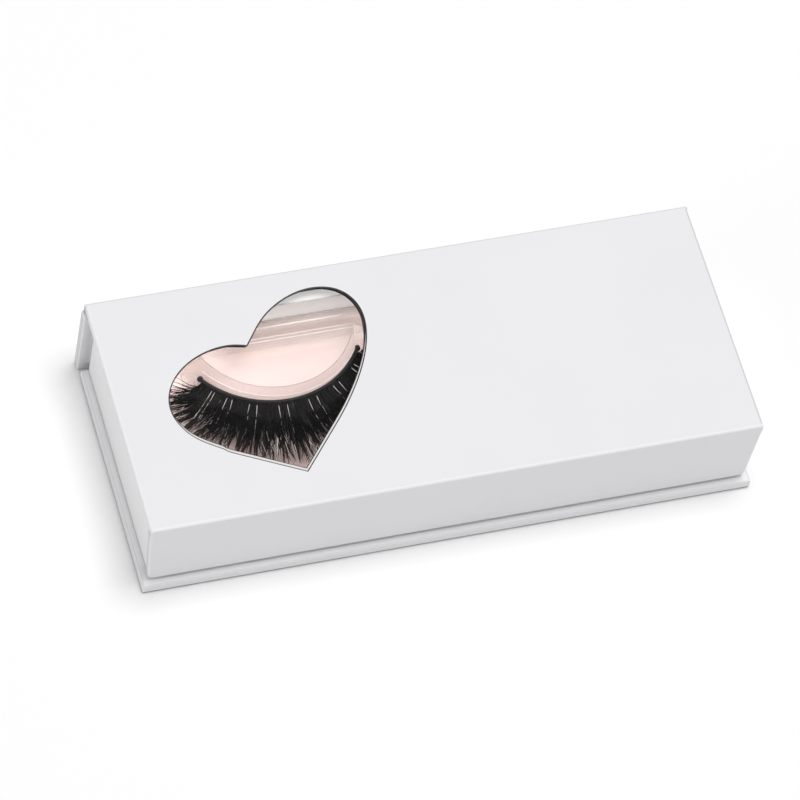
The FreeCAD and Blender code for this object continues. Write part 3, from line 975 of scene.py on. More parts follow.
@dataclass
class FoldStrip:
    """The paper that bends at one fold, from the edge of one panel round the corner to the next."""

    name: str
    bodies: tuple[str, str]
    stands_for: str
    half_length: float
    corner: tuple[float, float]
    inward: float
    lead: float
    radius: float
    drop: float
    paper: float = 0.22
    edge: float = 0.16
    shade_marks: Marks = ()
    highlight_marks: Marks = ()

    @property
    def down(self) -> float:
        """Sign of Z on the way from the corner along the upright panel."""
        return -1.0 if self.corner[1] > 1.0 else 1.0

    def _path(self, mesh: Mesh) -> None:
        """Draws the strip's outer line at one end of the case.

        Args:
            mesh: Mesh that receives the line.
        """
        corner_y, corner_z = self.corner
        first = Vector((-self.half_length, corner_y + self.inward * self.lead, corner_z)) * MM
        bend = Vector((-self.half_length, corner_y + self.inward * self.radius, corner_z)) * MM
        turn = mesh.verts.new(bend)
        mesh.edges.new((mesh.verts.new(first), turn))
        result = bmesh.ops.spin(
            mesh,
            geom=[turn],
            cent=bend + Vector((0.0, 0.0, self.down * self.radius)) * MM,
            axis=Vector((1.0, 0.0, 0.0)),
            angle=math.radians(-90.0) * self.inward * self.down,
            steps=8,
            use_duplicate=False,
        )
        if self.drop > 0.0:
            last = self._points(result["geom_last"])[0]
            foot = mesh.verts.new(last.co + Vector((0.0, 0.0, self.down * self.drop)) * MM)
            mesh.edges.new((last, foot))

    @staticmethod
    def _points(geometry: Iterable[Any]) -> list[Vert]:
        """Picks the points out of an operator's result."""
        return [item for item in geometry if isinstance(item, Vert)]

    def _outer_ends(self, form: Form, close: float = 1e-7) -> list[Edge]:
        """Finds the edges of the strip's outer line at both ends of the case.

        Args:
            form: The finished strip.
            close: Distance in metres within which places are the same.

        Returns:
            The edges.
        """
        corner_y, corner_z = self.corner
        centre_y = (corner_y + self.inward * self.radius) * MM
        centre_z = (corner_z + self.down * self.radius) * MM

        def is_outside(vert: Vert) -> bool:
            """Tests whether a point lies on the strip's outer line."""
            past_y = max((vert.co.y - centre_y) * -self.inward, 0.0)
            past_z = max((vert.co.z - centre_z) * -self.down, 0.0)
            return math.hypot(past_y, past_z) >= (self.radius - 0.02) * MM

        found = []
        for edge in form.outer_edges(0.0):
            first, second = (vert.co.x for vert in edge.verts)
            at_end = abs(abs(first) - self.half_length * MM) < close and abs(first - second) < close
            if at_end and all(map(is_outside, edge.verts)):
                found.append(edge)
        return found

    def build(self, materials: Materials) -> None:
        """Builds the strip and blends it between its two bodies.

        Args:
            materials: Material by slot.
        """
        form = Form()
        mesh = form.mesh
        self._path(mesh)
        pulled = bmesh.ops.extrude_edge_only(mesh, edges=mesh.edges[:])
        far_end = Vector((2 * self.half_length * MM, 0.0, 0.0))
        bmesh.ops.translate(mesh, verts=self._points(pulled["geom"]), vec=far_end)
        bmesh.ops.recalc_face_normals(mesh, faces=mesh.faces)
        outward = Vector((0.0, -self.inward, -self.down))
        if sum(face.normal.dot(outward) for face in mesh.faces) < 0.0:
            bmesh.ops.reverse_faces(mesh, faces=mesh.faces)
        mesh.normal_update()
        bmesh.ops.solidify(mesh, geom=mesh.faces[:], thickness=self.paper * MM)
        mesh.normal_update()
        form.round_off(self._outer_ends(form), self.edge, 3)
        form.mark_facing(self.shade_marks)
        form.mark_facing(self.highlight_marks, HIGHLIGHT_LAYER)
        piece = form.piece(self.name, materials["case_wrap"], 40.0, even=True)
        corner_y, corner_z = self.corner
        start = (0.0, (corner_y + self.inward * self.radius) * MM, corner_z * MM)
        end = (0.0, corner_y * MM, (corner_z + self.down * self.radius) * MM)
        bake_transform(piece, *self.bodies, start=start, end=end)
        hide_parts(self.stands_for)
        LOG.info("%s bends between %s and %s", piece.name, *self.bodies)


@dataclass
class Cover:
    """The book cover: base, spine, lid and front flap, with the paper hinges between them."""

    materials: Materials
    length: float = 110.0
    base_length: float = 110.5
    height: float = 18.54
    front: float = -22.875
    back: float = 24.065
    seam: float = 16.38
    bend: float = 0.5
    lap: float = 0.4
    base_back: float = field(default_factory=lambda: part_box("base_wrap")[1].y / MM)
    spine_foot: float = field(default_factory=lambda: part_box("spine_wrap")[0].z / MM)

    def _panels(self) -> list[Panel]:
        """Lists the panels, with the painted shade and painted highlight on their ends and edges.

        Returns:
            Paper of the four panels, then the lid's board and lining.
        """
        ends = (-1.0, 1.0)
        under = ((-1.0, 0.0), (1.0, 0.0), (0.0, -1.0))
        heart = {"window": True}
        # Painted shade on the base's lower edges, the spine's ends and back edges, the lid's right edge and
        # the flap's ends and lower edge; painted highlight on the base's upward faces and the lid's left
        # edge
        return [
            Panel(
                "base_wrap", "case_base", 0.35, (("y", self.base_back),),
                shade_marks=tuple(((x, y, -1.0), 0.8, 1.0) for x, y in under),
                highlight_marks=(((0.0, 0.0, 1.0), 0.99, 0.85),),
            ),
            Panel(
                "spine_wrap", "spine", 0.35, (("z", self.spine_foot), ("z", self.seam)),
                shade_marks=(
                    *(((x, 0.0, 0.0), 0.98, 0.3) for x in ends),
                    *(((x, 1.0, 0.0), 0.8, 0.7) for x in ends),
                ),
            ),
            Panel(
                "lid_wrap", "lid", 0.4, finish="window_paper", **heart,
                shade_marks=(((1.0, 0.0, 1.0), 0.8, 0.18),),
                highlight_marks=(((-1.0, 0.0, 1.0), 0.8, 0.35),),
            ),
            Panel(
                "flap_wrap", "flap", 0.35, (("z", self.seam),),
                shade_marks=(*(((x, 0.0, 0.0), 0.98, 0.22) for x in ends), ((0.0, -1.0, -1.0), 0.8, 0.6)),
            ),
            Panel("lid_board", "lid", 0.0, finish="window_board", slot="greyboard", chamfer=0.16, **heart),
            Panel(
                "lid_lining", "lid", 0.0, finish="window_lining", slot="case_lining",
                chamfer=0.1, bed=0.42, reach=0.8, **heart,
            ),
        ]

    def _folds(self) -> list[FoldStrip]:
        """Lists the paper hinges.

        Returns:
            The fold strips.
        """
        lid_low, lid_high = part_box("lid_wrap")
        upper = {"radius": self.bend, "drop": self.height - self.bend - self.seam}
        # The flap fold carries painted highlight on its front edge, the lid fold painted shade on its back
        # edge
        return [
            FoldStrip(
                "flap_fold_paper", ("lid", "flap"), "flap_crease", self.length / 2,
                (self.front, self.height), 1.0, lid_low.y / MM + self.lap - self.front, **upper,
                highlight_marks=(((0.0, -1.0, 1.0), 0.8, 0.45),),
            ),
            FoldStrip(
                "lid_fold_paper", ("lid", "spine"), "lid_crease", self.length / 2 + 0.15,
                (self.back, self.height), -1.0, self.back - lid_high.y / MM + self.lap, **upper,
                shade_marks=(((0.0, 1.0, 1.0), 0.8, 0.14),),
            ),
            FoldStrip(
                "base_fold_paper", ("case_base", "spine"), "base_crease", self.base_length / 2,
                (self.back, 0.0), -1.0, self.back - self.base_back, self.spine_foot, 0.0, 0.18, 0.0,
            ),
        ]

    def build(self) -> None:
        """Builds every panel and fold."""
        for part in self._panels() + self._folds():
            part.build(self.materials)


@dataclass
class Tray:
    """The paper covered inner tray that is glued to the base, and the card that fills it."""

    materials: Materials
    edge: float = 0.3
    inner_half: float = 52.4
    front: float = -18.6
    back: float = 19.2
    shaded_above: float = 3.0

    def _is_shaded_wall(self, face: Face) -> bool:
        """Tests whether a face is one of the tray's inner walls, which are painted darker and warmer:
        painted shade with bounce light from the card.
        """
        x, y, z = face.calc_center_median() / MM
        return abs(x) < self.inner_half and self.front < y < self.back and z > self.shaded_above

    def build(self) -> None:
        """Builds the tray's paper and the card insert."""
        paper = Form("tray_wrap")
        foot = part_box("tray_wrap")[0].z + 0.1 * MM
        paper.round_off(paper.outer_edges(1.2, lambda middle: middle.z < foot), self.edge)
        # Inner walls get painted shade, warmed as if lit from the card
        paper.mark(1.0, self._is_shaded_wall)
        shell = paper.piece("tray_paper_shell", self.materials["tray_paper"], even=True)
        settle(shell, "case_base", ["tray_wrap"])
        card = Form("insert_card")
        card.round_off(card.outer_edges(1.0), self.edge, 3)
        insert = card.piece("rose_insert", self.materials["pink_card"], even=True)
        settle(insert, "case_base", ["insert_card"])


@dataclass
class LashTray:
    """The clear formed tray: a sunk well with one raised platform for each lash."""

    materials: Materials
    wall: float = 0.33
    fold: float = 0.4
    floor: float = 8.35
    # Level faces above this height and behind this line are the milky back flange
    flange: Pair = (12.0, 16.9)
    bead: float = 0.11
    top: float = 11.8
    # Radius, height and half angle of the arcs: the bead on each slope, the crease round each top
    slope_bead: Triple = (16.45, 10.76, 57.0)
    crease: Triple = (15.2, 11.73, 66.0)
    # Depth and half length of the beads along each platform's straight back
    back_beads: tuple[Pair, ...] = ((14.65, 14.2), (15.35, 14.4))
    # Distance from the platform's middle, at both depths, of the short beads at its inner and outer end
    end_beads: tuple[Pair, ...] = ((15.9, 15.3), (14.4, 13.7))
    end_depths: Pair = (15.3, 11.3)
    flange_bead: Triple = (49.6, 17.12, 12.04)
    nub_place: Pair = (16.2, 11.4)
    nub_size: Triple = (2.3, 2.2, 0.5)
    nub_turn: float = -11.0
    nub_edge: float = 0.12
    crisp: float = 50.0

    def _upper_side(self) -> Form:
        """Takes the visible upper side of the CAD tray as one open sheet.

        Returns:
            The sheet, with its faces upwards.
        """
        form = Form("lash_tray")
        mesh = form.mesh
        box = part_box("lash_tray")

        def on_outline(vert: Vert) -> bool:
            """Tests whether a point lies on the tray's outline, seen from above."""
            return any(abs(vert.co[axis] - side[axis]) < 0.01 * MM for side in box for axis in (0, 1))

        outer = [
            face for face in mesh.faces if abs(face.normal.z) < 0.1 and all(map(on_outline, face.verts))
        ]
        bmesh.ops.delete(mesh, geom=outer, context="FACES_ONLY")
        start = next(
            face
            for face in mesh.faces
            if face.normal.z > LEVEL and abs(face.calc_center_median().z - self.floor * MM) < 0.02 * MM
        )
        kept = {start}
        wave = [start]
        while wave:
            around = {other for edge in wave.pop().edges for other in edge.link_faces} - kept
            kept |= around
            wave.extend(around)
        bmesh.ops.delete(mesh, geom=[face for face in mesh.faces if face not in kept], context="FACES")
        return form

    def _on_flange(self, face: Face) -> bool:
        """Tests whether a face belongs to the back flange."""
        middle = face.calc_center_median() / MM
        height, depth = self.flange
        return face.normal.z > NEARLY_LEVEL and middle.z > height and middle.y > depth

    def _add_sheet(self) -> None:
        """Builds the formed sheet with its soft folds, and leaves its wall to a Solidify modifier."""
        form = self._upper_side()
        inner = (edge for edge in form.mesh.edges if len(edge.link_faces) == 2)
        form.round_off([edge for edge in inner if edge.calc_face_angle(0.0) > CORNER], self.fold)
        form.mark(1.0, self._on_flange)
        piece = form.piece("lash_blister", self.materials["clear_tray"], self.crisp)
        solid = piece.modifiers.new("wall", "SOLIDIFY")
        solid.thickness = self.wall * MM
        solid.offset = -1.0
        solid.use_even_offset = True
        settle(piece, "case_base", ["lash_tray"])

    def _bead_ring(self, mesh: Mesh, side: Side, arc: Triple) -> None:
        """Adds one raised bead along an arc of a platform.

        Args:
            mesh: Mesh that receives it.
            side: Platform.
            arc: Radius, height and half angle.
        """
        radius, height, half_angle = arc
        centre = Vector((side.value * PLATFORM_X, PLATFORM_Y, height)) * MM
        start = math.radians(-90.0 - half_angle)
        spot = centre + Vector((math.cos(start), math.sin(start), 0.0)) * radius * MM
        turn = Matrix.Rotation(start, 4, "Z") @ Matrix.Rotation(math.radians(90.0), 4, "X")
        ring = bmesh.ops.create_circle(
            mesh, segments=8, radius=self.bead * MM, matrix=Matrix.Translation(spot) @ turn, cap_ends=False
        )
        edges = {edge for vert in ring["verts"] for edge in vert.link_edges}
        bmesh.ops.spin(
            mesh,
            geom=list(ring["verts"]) + list(edges),
            cent=centre,
            axis=Vector((0.0, 0.0, 1.0)),
            angle=math.radians(2 * half_angle),
            steps=40,
            use_duplicate=False,
        )

    def _bead_line(self, mesh: Mesh, start: Triple, end: Triple) -> None:
        """Adds one straight raised bead.

        Args:
            mesh: Mesh that receives it.
            start: First end, in millimetres.
            end: Other end, in millimetres.
        """
        along = (Vector(end) - Vector(start)) * MM
        turn = along.to_track_quat("Z", "Y").to_matrix().to_4x4()
        bmesh.ops.create_cone(
            mesh,
            segments=8,
            radius1=self.bead * MM,
            radius2=self.bead * MM,
            depth=along.length,
            cap_ends=True,
            matrix=Matrix.Translation((Vector(start) + Vector(end)) * MM / 2) @ turn,
        )

    def _close_beads(self, name: str, form: Form, material: str) -> None:
        """Caps the ends of beads and makes them a piece.

        Args:
            name: Name of the piece.
            form: The beads.
            material: Name of their plastic.
        """
        mesh = form.mesh
        bmesh.ops.holes_fill(mesh, edges=[edge for edge in mesh.edges if edge.is_boundary], sides=8)
        bmesh.ops.recalc_face_normals(mesh, faces=mesh.faces)
        settle(form.piece(name, self.materials[material], self.crisp), "case_base")

    def _add_beads(self) -> None:
        """Builds the fine stiffening beads on both platforms and along the back flange; their milky white is
        painted highlight along real ridges.
        """
        form = Form()
        mesh = form.mesh
        rear, front = self.end_depths
        for side in Side:
            middle = side.value * PLATFORM_X
            self._bead_ring(mesh, side, self.slope_bead)
            for depth, half in self.back_beads:
                self._bead_line(mesh, (middle - half, depth, self.top), (middle + half, depth, self.top))
            for far, near in self.end_beads:
                sunk = max(0.0, far - 15.0)
                start = (middle + far, rear, self.top - sunk)
                self._bead_line(mesh, start, (middle + near, front, self.top - 0.2))
        half, depth, height = self.flange_bead
        self._bead_line(mesh, (-half, depth, height), (half, depth, height))
        self._close_beads("blister_beads", form, "bead")

    def _add_creases(self) -> None:
        """Builds the fine crease that the mould leaves round the top of each platform."""
        form = Form()
        for side in Side:
            self._bead_ring(form.mesh, side, self.crease)
        self._close_beads("blister_creases", form, "crease")

    def _add_nubs(self) -> None:
        """Builds the small square nub that stiffens the floor beside each platform."""
        form = Form()
        aside, depth = self.nub_place
        shape = Matrix.Rotation(math.radians(self.nub_turn), 4, "Z")
        shape = shape @ Matrix.Diagonal((*(length * MM for length in self.nub_size), 1.0))
        for side in Side:
            spot = Vector((side.value * (PLATFORM_X + aside), depth, self.floor + 0.05)) * MM
            bmesh.ops.create_cube(form.mesh, size=1.0, matrix=Matrix.Translation(spot) @ shape)
        form.round_off(form.mesh.edges[:], self.nub_edge, 2)
        piece = form.piece("blister_nubs", self.materials["clear_tray"], self.crisp)
        settle(piece, "case_base")

    def build(self) -> None:
        """Builds the tray."""
        self._add_sheet()
        self._add_nubs()
        self._add_beads()
        self._add_creases()


class Fibres:
    """Thin tapered tubes that are gathered one by one and then become one piece."""

    def __init__(self) -> None:
        """Starts without a tube."""
        self.tubes: list[tuple[list[Vector], list[float]]] = []

    def add(self, points: list[Vector], radii: list[float]) -> None:
        """Adds a tube by its points in metres and its radii in millimetres."""
        self.tubes.append((points, radii))

    def piece(self, name: str, material: Material, sides: int = 0) -> Piece:
        """Makes the tubes from curves and keeps them as one mesh.

        Args:
            name: Name of the piece.
            material: Material of the tubes.
            sides: Blender's bevel resolution; 0 gives a square tube.

        Returns:
            The piece.
        """
        curve = bpy.data.curves.new(name + "_line", "CURVE")
        curve.dimensions = "3D"
        curve.bevel_depth = MM
        curve.bevel_resolution = sides
        curve.use_fill_caps = True
        curve.resolution_u = 1
        for points, radii in self.tubes:
            spline = curve.splines.new("POLY")
            spline.points.add(len(points) - 1)
            for spot, point, radius in zip(spline.points, points, radii):
                spot.co = (*point, 1.0)
                spot.radius = radius
        holder = bpy.data.objects.new(name + "_line", curve)
        bpy.context.scene.collection.objects.link(holder)
        graph = bpy.context.evaluated_depsgraph_get()
        data = bpy.data.meshes.new_from_object(holder.evaluated_get(graph))
        bpy.data.objects.remove(holder)
        bpy.data.curves.remove(curve)
        data.name = name
        data.materials.clear()
        data.materials.append(material)
        data.shade_smooth()
        made = bpy.data.objects.new(name, data)
        bpy.context.scene.collection.objects.link(made)
        return made


@dataclass
class Lash:
    """One strip lash: a thread band round the platform and a curled fan of tapered hairs.

    Angles are in degrees from the front about the platform's centre, positive towards the case's middle.
    """

    materials: Materials
    side: Side
    seed: int
    rng: random.Random = field(default_factory=random.Random)
    band_radius: float = 17.35
    band_height: float = 10.5
    band_angle: float = 112.0
    band_thickness: float = 0.34
    band_steps: int = 48
    knot: float = 0.22
    reach: float = 30.9
    # Height of a hair's root, how deep it dips, and how far its tip rises
    hair_curve: Triple = (10.45, 0.95, 0.5)
    # The same of the pale fibres
    streak_curve: Triple = (10.72, 0.9, 0.6)
    root_angle: float = 107.0
    tip_angle: float = 126.0
    tilt: float = 2.0
    steps: int = 8
    clusters: int = 100
    strands: int = 8
    # How far short of the fan's limit a cluster's point may stop
    notches: tuple[float, ...] = (0.0, 0.2, 0.7, 1.5, 2.6)
    stray_share: float = 0.14
    cluster_thickness: Pair = (0.068, 0.098)
    underlayer: int = 760
    # Roots further out than this angle carry fewer short hairs, by this share
    thin_end: Pair = (-38.0, 0.75)
    short_thickness: Pair = (0.06, 0.08)
    loose: int = 170
    loose_thickness: Pair = (0.055, 0.075)
    sweep: int = 14
    # Angle of each pair of pale fibres, and half the gap between its two
    pairs: tuple[Pair, ...] = (
        (-45.3, 0.8), (-35.5, 1.5), (-22.0, 2.0), (-5.5, 2.4), (11.8, 2.4), (28.1, 2.1), (43.5, 1.5)
    )
    glints: int = 110
    streak_levels: tuple[float, ...] = (0.6, 1.0, 0.95, 0.85, 0.7, 0.45, 0.15)

    @property
    def label(self) -> str:
        """Left or right, as in the CAD's node names."""
        return self.side.name.lower()

    def _spot(self, angle: float, radius: float, height: float) -> Vector:
        """Point by angle and distance from the platform's centre.

        Args:
            angle: The angle.
            radius: Distance in millimetres.
            height: Height in millimetres.

        Returns:
            The point in metres, with the lash's slight tilt on its platform.
        """
        turn = math.radians(angle)
        lean = math.radians(self.tilt)
        across = math.sin(turn) * radius
        along = self.band_radius - math.cos(turn) * radius
        leaned_x = across * math.cos(lean) - along * math.sin(lean)
        leaned_y = across * math.sin(lean) + along * math.cos(lean)
        front = PLATFORM_Y - self.band_radius
        return Vector((self.side.value * (PLATFORM_X - leaned_x), front + leaned_y, height)) * MM

    def _add_band(self) -> None:
        """Builds the band with its glued ends."""
        angles = [(index / self.band_steps - 0.5) * self.band_angle for index in range(self.band_steps + 1)]
        points = [self._spot(angle, self.band_radius, self.band_height) for angle in angles]
        thread = Fibres()
        thread.add(points, [self.band_thickness] * len(points))
        piece = thread.piece("lash_band_thread_" + self.label, self.materials["lash_band"], 3)
        mesh = bmesh.new()
        mesh.from_mesh(piece.data)
        for point in (points[0], points[-1]):
            bmesh.ops.create_uvsphere(
                mesh,
                u_segments=16,
                v_segments=10,
                radius=(self.band_thickness + self.knot) * MM,
                matrix=Matrix.Translation(point),
            )
        mesh.to_mesh(piece.data)
        mesh.free()
        piece.data.shade_smooth()
        settle(piece, "case_base", ["lash_band_" + self.label])

    def _room(self, angle: float) -> float:
        """How far past the band hairs reach, which falls off at the lash's ends.

        Args:
            angle: The angle.

        Returns:
            Distance in millimetres.
        """
        past = max(abs(angle) - 50.0, 0.0)
        limit = self.reach - 0.9 * min(abs(angle) / 35.0, 1.0) ** 2 - 0.028 * past**2
        return limit - self.band_radius

    @staticmethod
    def _curl(share: float, sink: float) -> float:
        """How far a fibre dips below its root: most at four tenths of its way, not past eight tenths."""
        return sink * math.sin(math.pi * min(share * 1.25, 1.0))

    def _add_hair(
        self, hairs: Fibres, root: float, aim: float, length: float, lift: float, bend: float, thick: Pair
    ) -> None:
        """Adds one hair.

        Args:
            hairs: The fan.
            root: Angle of its root on the band.
            aim: Angle of its tip.
            length: Distance of its tip from the platform's centre.
            lift: Height added at the tip.
            bend: Degrees by which its middle swings aside.
            thick: Least and greatest radius at the root.
        """
        points = []
        shares = [index / self.steps for index in range(self.steps + 1)]
        start = self.band_radius + self.rng.uniform(-0.15, 0.2)
        sway = bend + self.rng.uniform(-0.35, 0.35)
        base, dip, rise = self.hair_curve
        for share in shares:
            radius = start + (length - start) * share
            angle = root + (aim - root) * share**1.25 + sway * math.sin(math.pi * share)
            height = base - self._curl(share, dip) + rise * share**3 + lift * share
            points.append(self._spot(angle, radius, height + self.rng.uniform(-0.02, 0.02)))
        radius = self.rng.uniform(*thick)
        hairs.add(points, [radius * (1.0 - 0.75 * share**5) for share in shares])

    def _add_clusters(self, hairs: Fibres, flare: float) -> None:
        """Adds the clusters of hairs that come to ragged points.

        Args:
            hairs: The fan.
            flare: How much wider the tips spread than the roots.
        """
        rng = self.rng
        for cluster in range(self.clusters):
            middle = ((cluster + 0.5) / self.clusters - 0.5) * self.root_angle
            point = middle * flare + rng.uniform(-1.6, 1.6)
            bend = rng.uniform(-1.8, 1.8)
            limit = self._room(point) + self.band_radius
            full = limit - rng.choice(self.notches) - rng.uniform(0.0, 0.3)
            for _ in range(self.strands):
                root = middle + rng.uniform(-1.0, 1.0) * self.root_angle / self.clusters
                stray = rng.random() < self.stray_share
                aim = point + (rng.uniform(-4.0, 4.0) if stray else rng.gauss(0.0, 0.2))
                length = full - abs(rng.gauss(0.0, 0.7)) - (rng.uniform(0.0, 3.5) if stray else 0.0)
                length = max(length, self.band_radius + 3.0)
                lift = rng.uniform(-0.12, 0.12)
                self._add_hair(hairs, root, aim, length, lift, bend, self.cluster_thickness)

    def _add_fan(self) -> None:
        """Builds the fan: clusters, an underlayer of short hairs, loose hairs and the outer sweep."""
        rng = self.rng
        rng.seed(self.seed)
        hairs = Fibres()
        flare = self.tip_angle / self.root_angle
        self._add_clusters(hairs, flare)
        thin_angle, thin_share = self.thin_end
        for _ in range(self.underlayer):
            root = (rng.random() - 0.5) * self.root_angle
            aim = root * flare + rng.gauss(0.0, 2.5)
            if root < thin_angle and rng.random() < thin_share:
                continue
            length = self.band_radius + self._room(aim) * (0.34 + 0.26 * rng.random())
            self._add_hair(hairs, root, aim, length, rng.uniform(-0.2, 0.0), 0.0, self.short_thickness)
        for _ in range(self.loose):
            root = (rng.random() - 0.5) * self.root_angle
            aim = root * flare + rng.uniform(-4.5, 4.5)
            length = self.band_radius + self._room(aim) - 3.5 * rng.random() ** 1.5
            bend = rng.uniform(-3.2, 3.2)
            self._add_hair(hairs, root, aim, length, rng.uniform(0.0, 0.15), bend, self.loose_thickness)
        for hair in range(self.sweep):
            share = (hair + rng.random()) / self.sweep
            root = -self.root_angle / 2 + 5.0 * share
            aim = -self.tip_angle / 2 - 9.0 + 17.0 * share
            length = self.band_radius + rng.uniform(6.0, 9.0)
            lift = rng.uniform(-0.1, 0.1)
            self._add_hair(hairs, root, aim, length, lift, rng.uniform(2.0, 4.0), self.short_thickness)
        fan = hairs.piece("lash_fan_" + self.label, self.materials["lash_hair"])
        settle(fan, "case_base", ["lash_hair_" + self.label])

    def _add_streak(
        self, fibres: Fibres, root: float, lean: float, begin: float, length: float, thick: float
    ) -> None:
        """Adds one pale fibre on top of the hair.

        Args:
            fibres: The pale fibres.
            root: Angle of its root.
            lean: Degrees by which its tip leans aside.
            begin: Distance of its root from the band in millimetres.
            length: Its length in millimetres.
            thick: Its radius in millimetres.
        """
        points = []
        last = len(self.streak_levels) - 1
        base, dip, rise = self.streak_curve
        for index in range(last + 1):
            share = index / last
            away = begin + length * share
            outward = away / (self.reach - self.band_radius)
            height = base - self._curl(outward, dip) + rise * outward**2
            points.append(self._spot(root + lean * share, self.band_radius + away, height))
        fibres.add(points, [thick * level for level in self.streak_levels])

    def _add_pale_glints(self) -> None:
        """Builds the pale fibre pairs that lie over the roots, and the fine pale fibres further out: painted
        highlights that stand in for glints on the hair.
        """
        rng = self.rng
        rng.seed(self.seed + 7)
        fibres = Fibres()
        for middle, gap in self.pairs:
            for offset in (-gap, gap):
                root = middle + offset + rng.uniform(-0.2, 0.2)
                far = rng.uniform(5.2, 7.6)
                first = rng.uniform(1.8, 2.7)
                second = first + rng.uniform(0.1, 0.5)
                for begin, length, thick in ((0.0, first, 0.046), (second, far - second, 0.044)):
                    self._add_streak(fibres, root, rng.uniform(-0.6, 0.6), begin + 0.75, length, thick)
        for _ in range(self.glints):
            root = (rng.random() - 0.5) * self.tip_angle
            room = self._room(root)
            begin = rng.uniform(0.4, 0.75) * room
            length = min(rng.uniform(1.5, 4.5), room - begin)
            lean = rng.uniform(-2.0, 2.0)
            self._add_streak(fibres, root, lean, begin, length, rng.uniform(0.03, 0.05))
        pale_glint = fibres.piece("lash_pale_glints_" + self.label, self.materials["pale_glint"])
        settle(pale_glint, "case_base")

    def build(self) -> None:
        """Builds the lash."""
        self._add_band()
        self._add_fan()
        self._add_pale_glints()


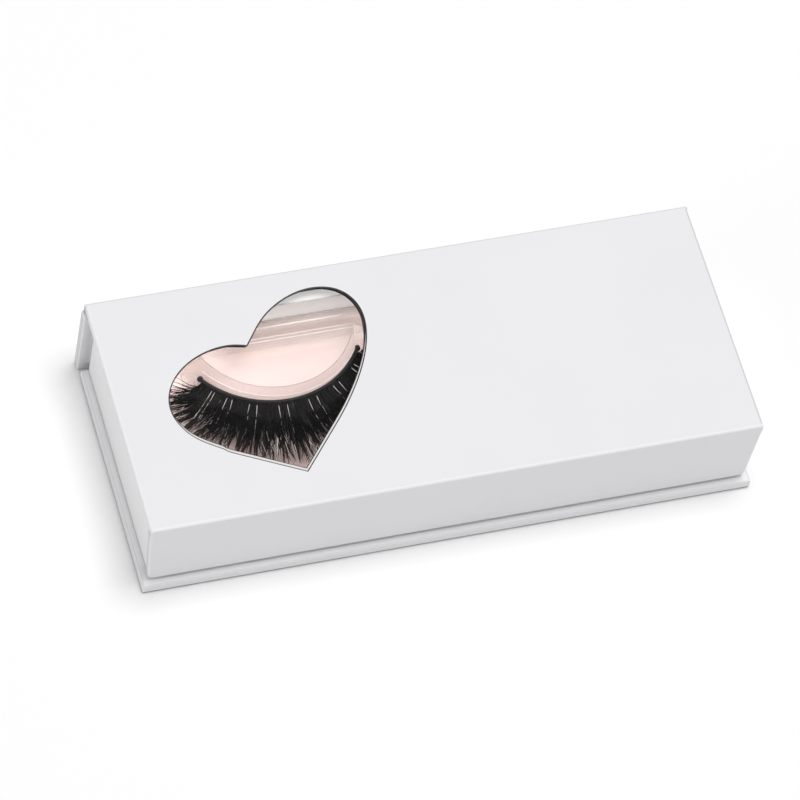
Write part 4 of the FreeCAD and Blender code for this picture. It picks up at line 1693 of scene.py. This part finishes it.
@dataclass
class Studio:
    """Pale floor, soft light and the camera at the photograph's angle; its own lengths are in metres."""

    position: Triple = (-0.25384221, -0.49902959, 0.86621705)
    right: Triple = (0.95599061, -0.26567089, 0.12450273)
    up: Triple = (0.16187633, 0.83152117, 0.53138367)
    ahead: Triple = (0.24469983, 0.48784375, -0.83793226)
    lens: float = 263.997
    sensor: float = 36.0
    clip: Pair = (0.05, 50.0)
    floor_size: float = 4.0
    sky: float = 0.45
    lamp_size: float = 2.4
    lamp_distance: float = 4.0
    # Name, power in watts and direction of the large lamps
    lamps: tuple[tuple[str, float, Triple], ...] = (
        ("key", 95.0, (0.15, 0.06, 1.0)),
        ("left_fill", 23.0, (-1.0, -0.2, 0.22)),
        ("front_fill", 4.0, (-0.1, -1.0, 0.1)),
    )
    # Lowest and highest X, lowest and highest Y in millimetres, and power of the lamps under the lid
    lid_lamps: tuple[tuple[float, float, float, float, float], ...] = (
        (-51.5, 51.5, -17.98, 16.3, 0.0088),
        (-51.5, 51.5, 10.5, 16.3, 0.0135),
        (-51.5, -38.0, 2.0, 16.3, 0.0074),
        (-51.5, 51.5, 18.9, 22.1, 0.0005),
    )
    lid_lamp_height: float = 16.3

    def _camera(self) -> None:
        """Places the camera."""
        data = bpy.data.cameras.new("camera")
        data.lens = self.lens
        data.sensor_width = self.sensor
        data.sensor_fit = "AUTO"
        data.clip_start, data.clip_end = self.clip
        camera = bpy.data.objects.new("camera", data)
        turn = Matrix((Vector(self.right), Vector(self.up), -Vector(self.ahead))).transposed().to_4x4()
        camera.matrix_world = Matrix.Translation(Vector(self.position)) @ turn
        bpy.context.scene.collection.objects.link(camera)
        bpy.context.scene.camera = camera

    def _floor(self) -> None:
        """Lays the pale floor, a hair's breadth under the case."""
        form = Form()
        bmesh.ops.create_grid(form.mesh, x_segments=1, y_segments=1, size=self.floor_size)
        bmesh.ops.translate(form.mesh, verts=form.mesh.verts, vec=Vector((0.0, 0.0, -0.01 * MM)))
        floor = form.piece("studio_floor", FloorFinish("studio_floor").material())

    def _world(self) -> None:
        """Lights the studio from all round; the camera sees plain white behind the floor."""
        world = bpy.data.worlds.new("studio")
        bpy.context.scene.world = world
        world.use_nodes = True
        nodes = Nodes(world.node_tree)
        sky, seen = (
            nodes.node("ShaderNodeBackground", {"Color": (1.0, 1.0, 1.0), "Strength": strength}).outputs[0]
            for strength in (self.sky, 1.0)
        )
        to_camera = nodes.node("ShaderNodeLightPath").outputs["Is Camera Ray"]
        mixed = nodes.node("ShaderNodeMixShader", {0: to_camera, 1: sky, 2: seen})
        nodes.node("ShaderNodeOutputWorld", {"Surface": mixed.outputs[0]})

    @staticmethod
    def _lamp(name: str, shape: str, power: float, size: Pair, place: Matrix) -> Piece:
        """Hangs a lamp that shines from one side.

        Args:
            name: Name of the lamp.
            shape: Blender's name of its outline.
            power: Power in watts.
            size: Width and depth in metres; a disk ignores its depth.
            place: Its place and turn; unturned, it shines down.

        Returns:
            The lamp.
        """
        data = bpy.data.lights.new(name, "AREA")
        data.shape = shape
        data.size, data.size_y = size
        data.energy = power
        lamp = bpy.data.objects.new(name, data)
        lamp.matrix_world = place
        bpy.context.scene.collection.objects.link(lamp)
        return lamp

    def _large_lamps(self) -> None:
        """Hangs the large soft lamps, which all face the case."""
        for name, power, direction in self.lamps:
            away = Vector(direction).normalized()
            turn = away.to_track_quat("Z", "Y").to_matrix().to_4x4()
            place = Matrix.Translation(away * self.lamp_distance) @ turn
            self._lamp(name, "DISK", power, (self.lamp_size, self.lamp_size), place)

    def _lid_lamps(self) -> None:
        """Hangs soft sheets of light under the lid, which brighten the inside while the lid is shut."""
        for number, (left, right, front, back, power) in enumerate(self.lid_lamps, start=1):
            middle = Vector(((left + right) / 2, (front + back) / 2, self.lid_lamp_height)) * MM
            size = ((right - left) * MM, (back - front) * MM)
            lamp = self._lamp(f"lid_lamp_{number}", "RECTANGLE", power, size, Matrix.Translation(middle))
            lamp.visible_camera = False
            lamp.visible_glossy = False
            lamp.visible_transmission = False
            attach(lamp, "lid")

    def build(self) -> None:
        """Builds the studio."""
        view = bpy.context.scene.view_settings
        view.view_transform = "Standard"
        view.look = "None"
        view.exposure = 0.0
        view.gamma = 1.0
        self._camera()
        self._floor()
        self._world()
        self._large_lamps()
        self._lid_lamps()
        LOG.info("studio ready")


def dress_cad_nodes(materials: Materials) -> None:
    """Gives every CAD node that stays in view the finish of its slot.

    Args:
        materials: Material by slot.
    """
    slots = {row["node"]: row["material_slot"] for row in frame["record"]["subparts"]}
    for node, piece in sorted(frame["nodes"].items()):
        if piece.hide_render:
            continue
        slot = slots[node]
        piece.data.materials.clear()
        piece.data.materials.append(materials[slot])
        LOG.info("%s keeps its CAD shape in %s", node, slot)


def main() -> None:
    """Builds the studio and the case."""
    logging.basicConfig(level=logging.INFO, format="%(name)s: %(message)s")
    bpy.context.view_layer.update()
    Studio().build()
    materials = build_materials()
    Cover(materials).build()
    Tray(materials).build()
    LashTray(materials).build()
    for side, seed in ((Side.LEFT, 11), (Side.RIGHT, 23)):
        Lash(materials, side, seed).build()
    dress_cad_nodes(materials)


if __name__ == "__main__":
    main()
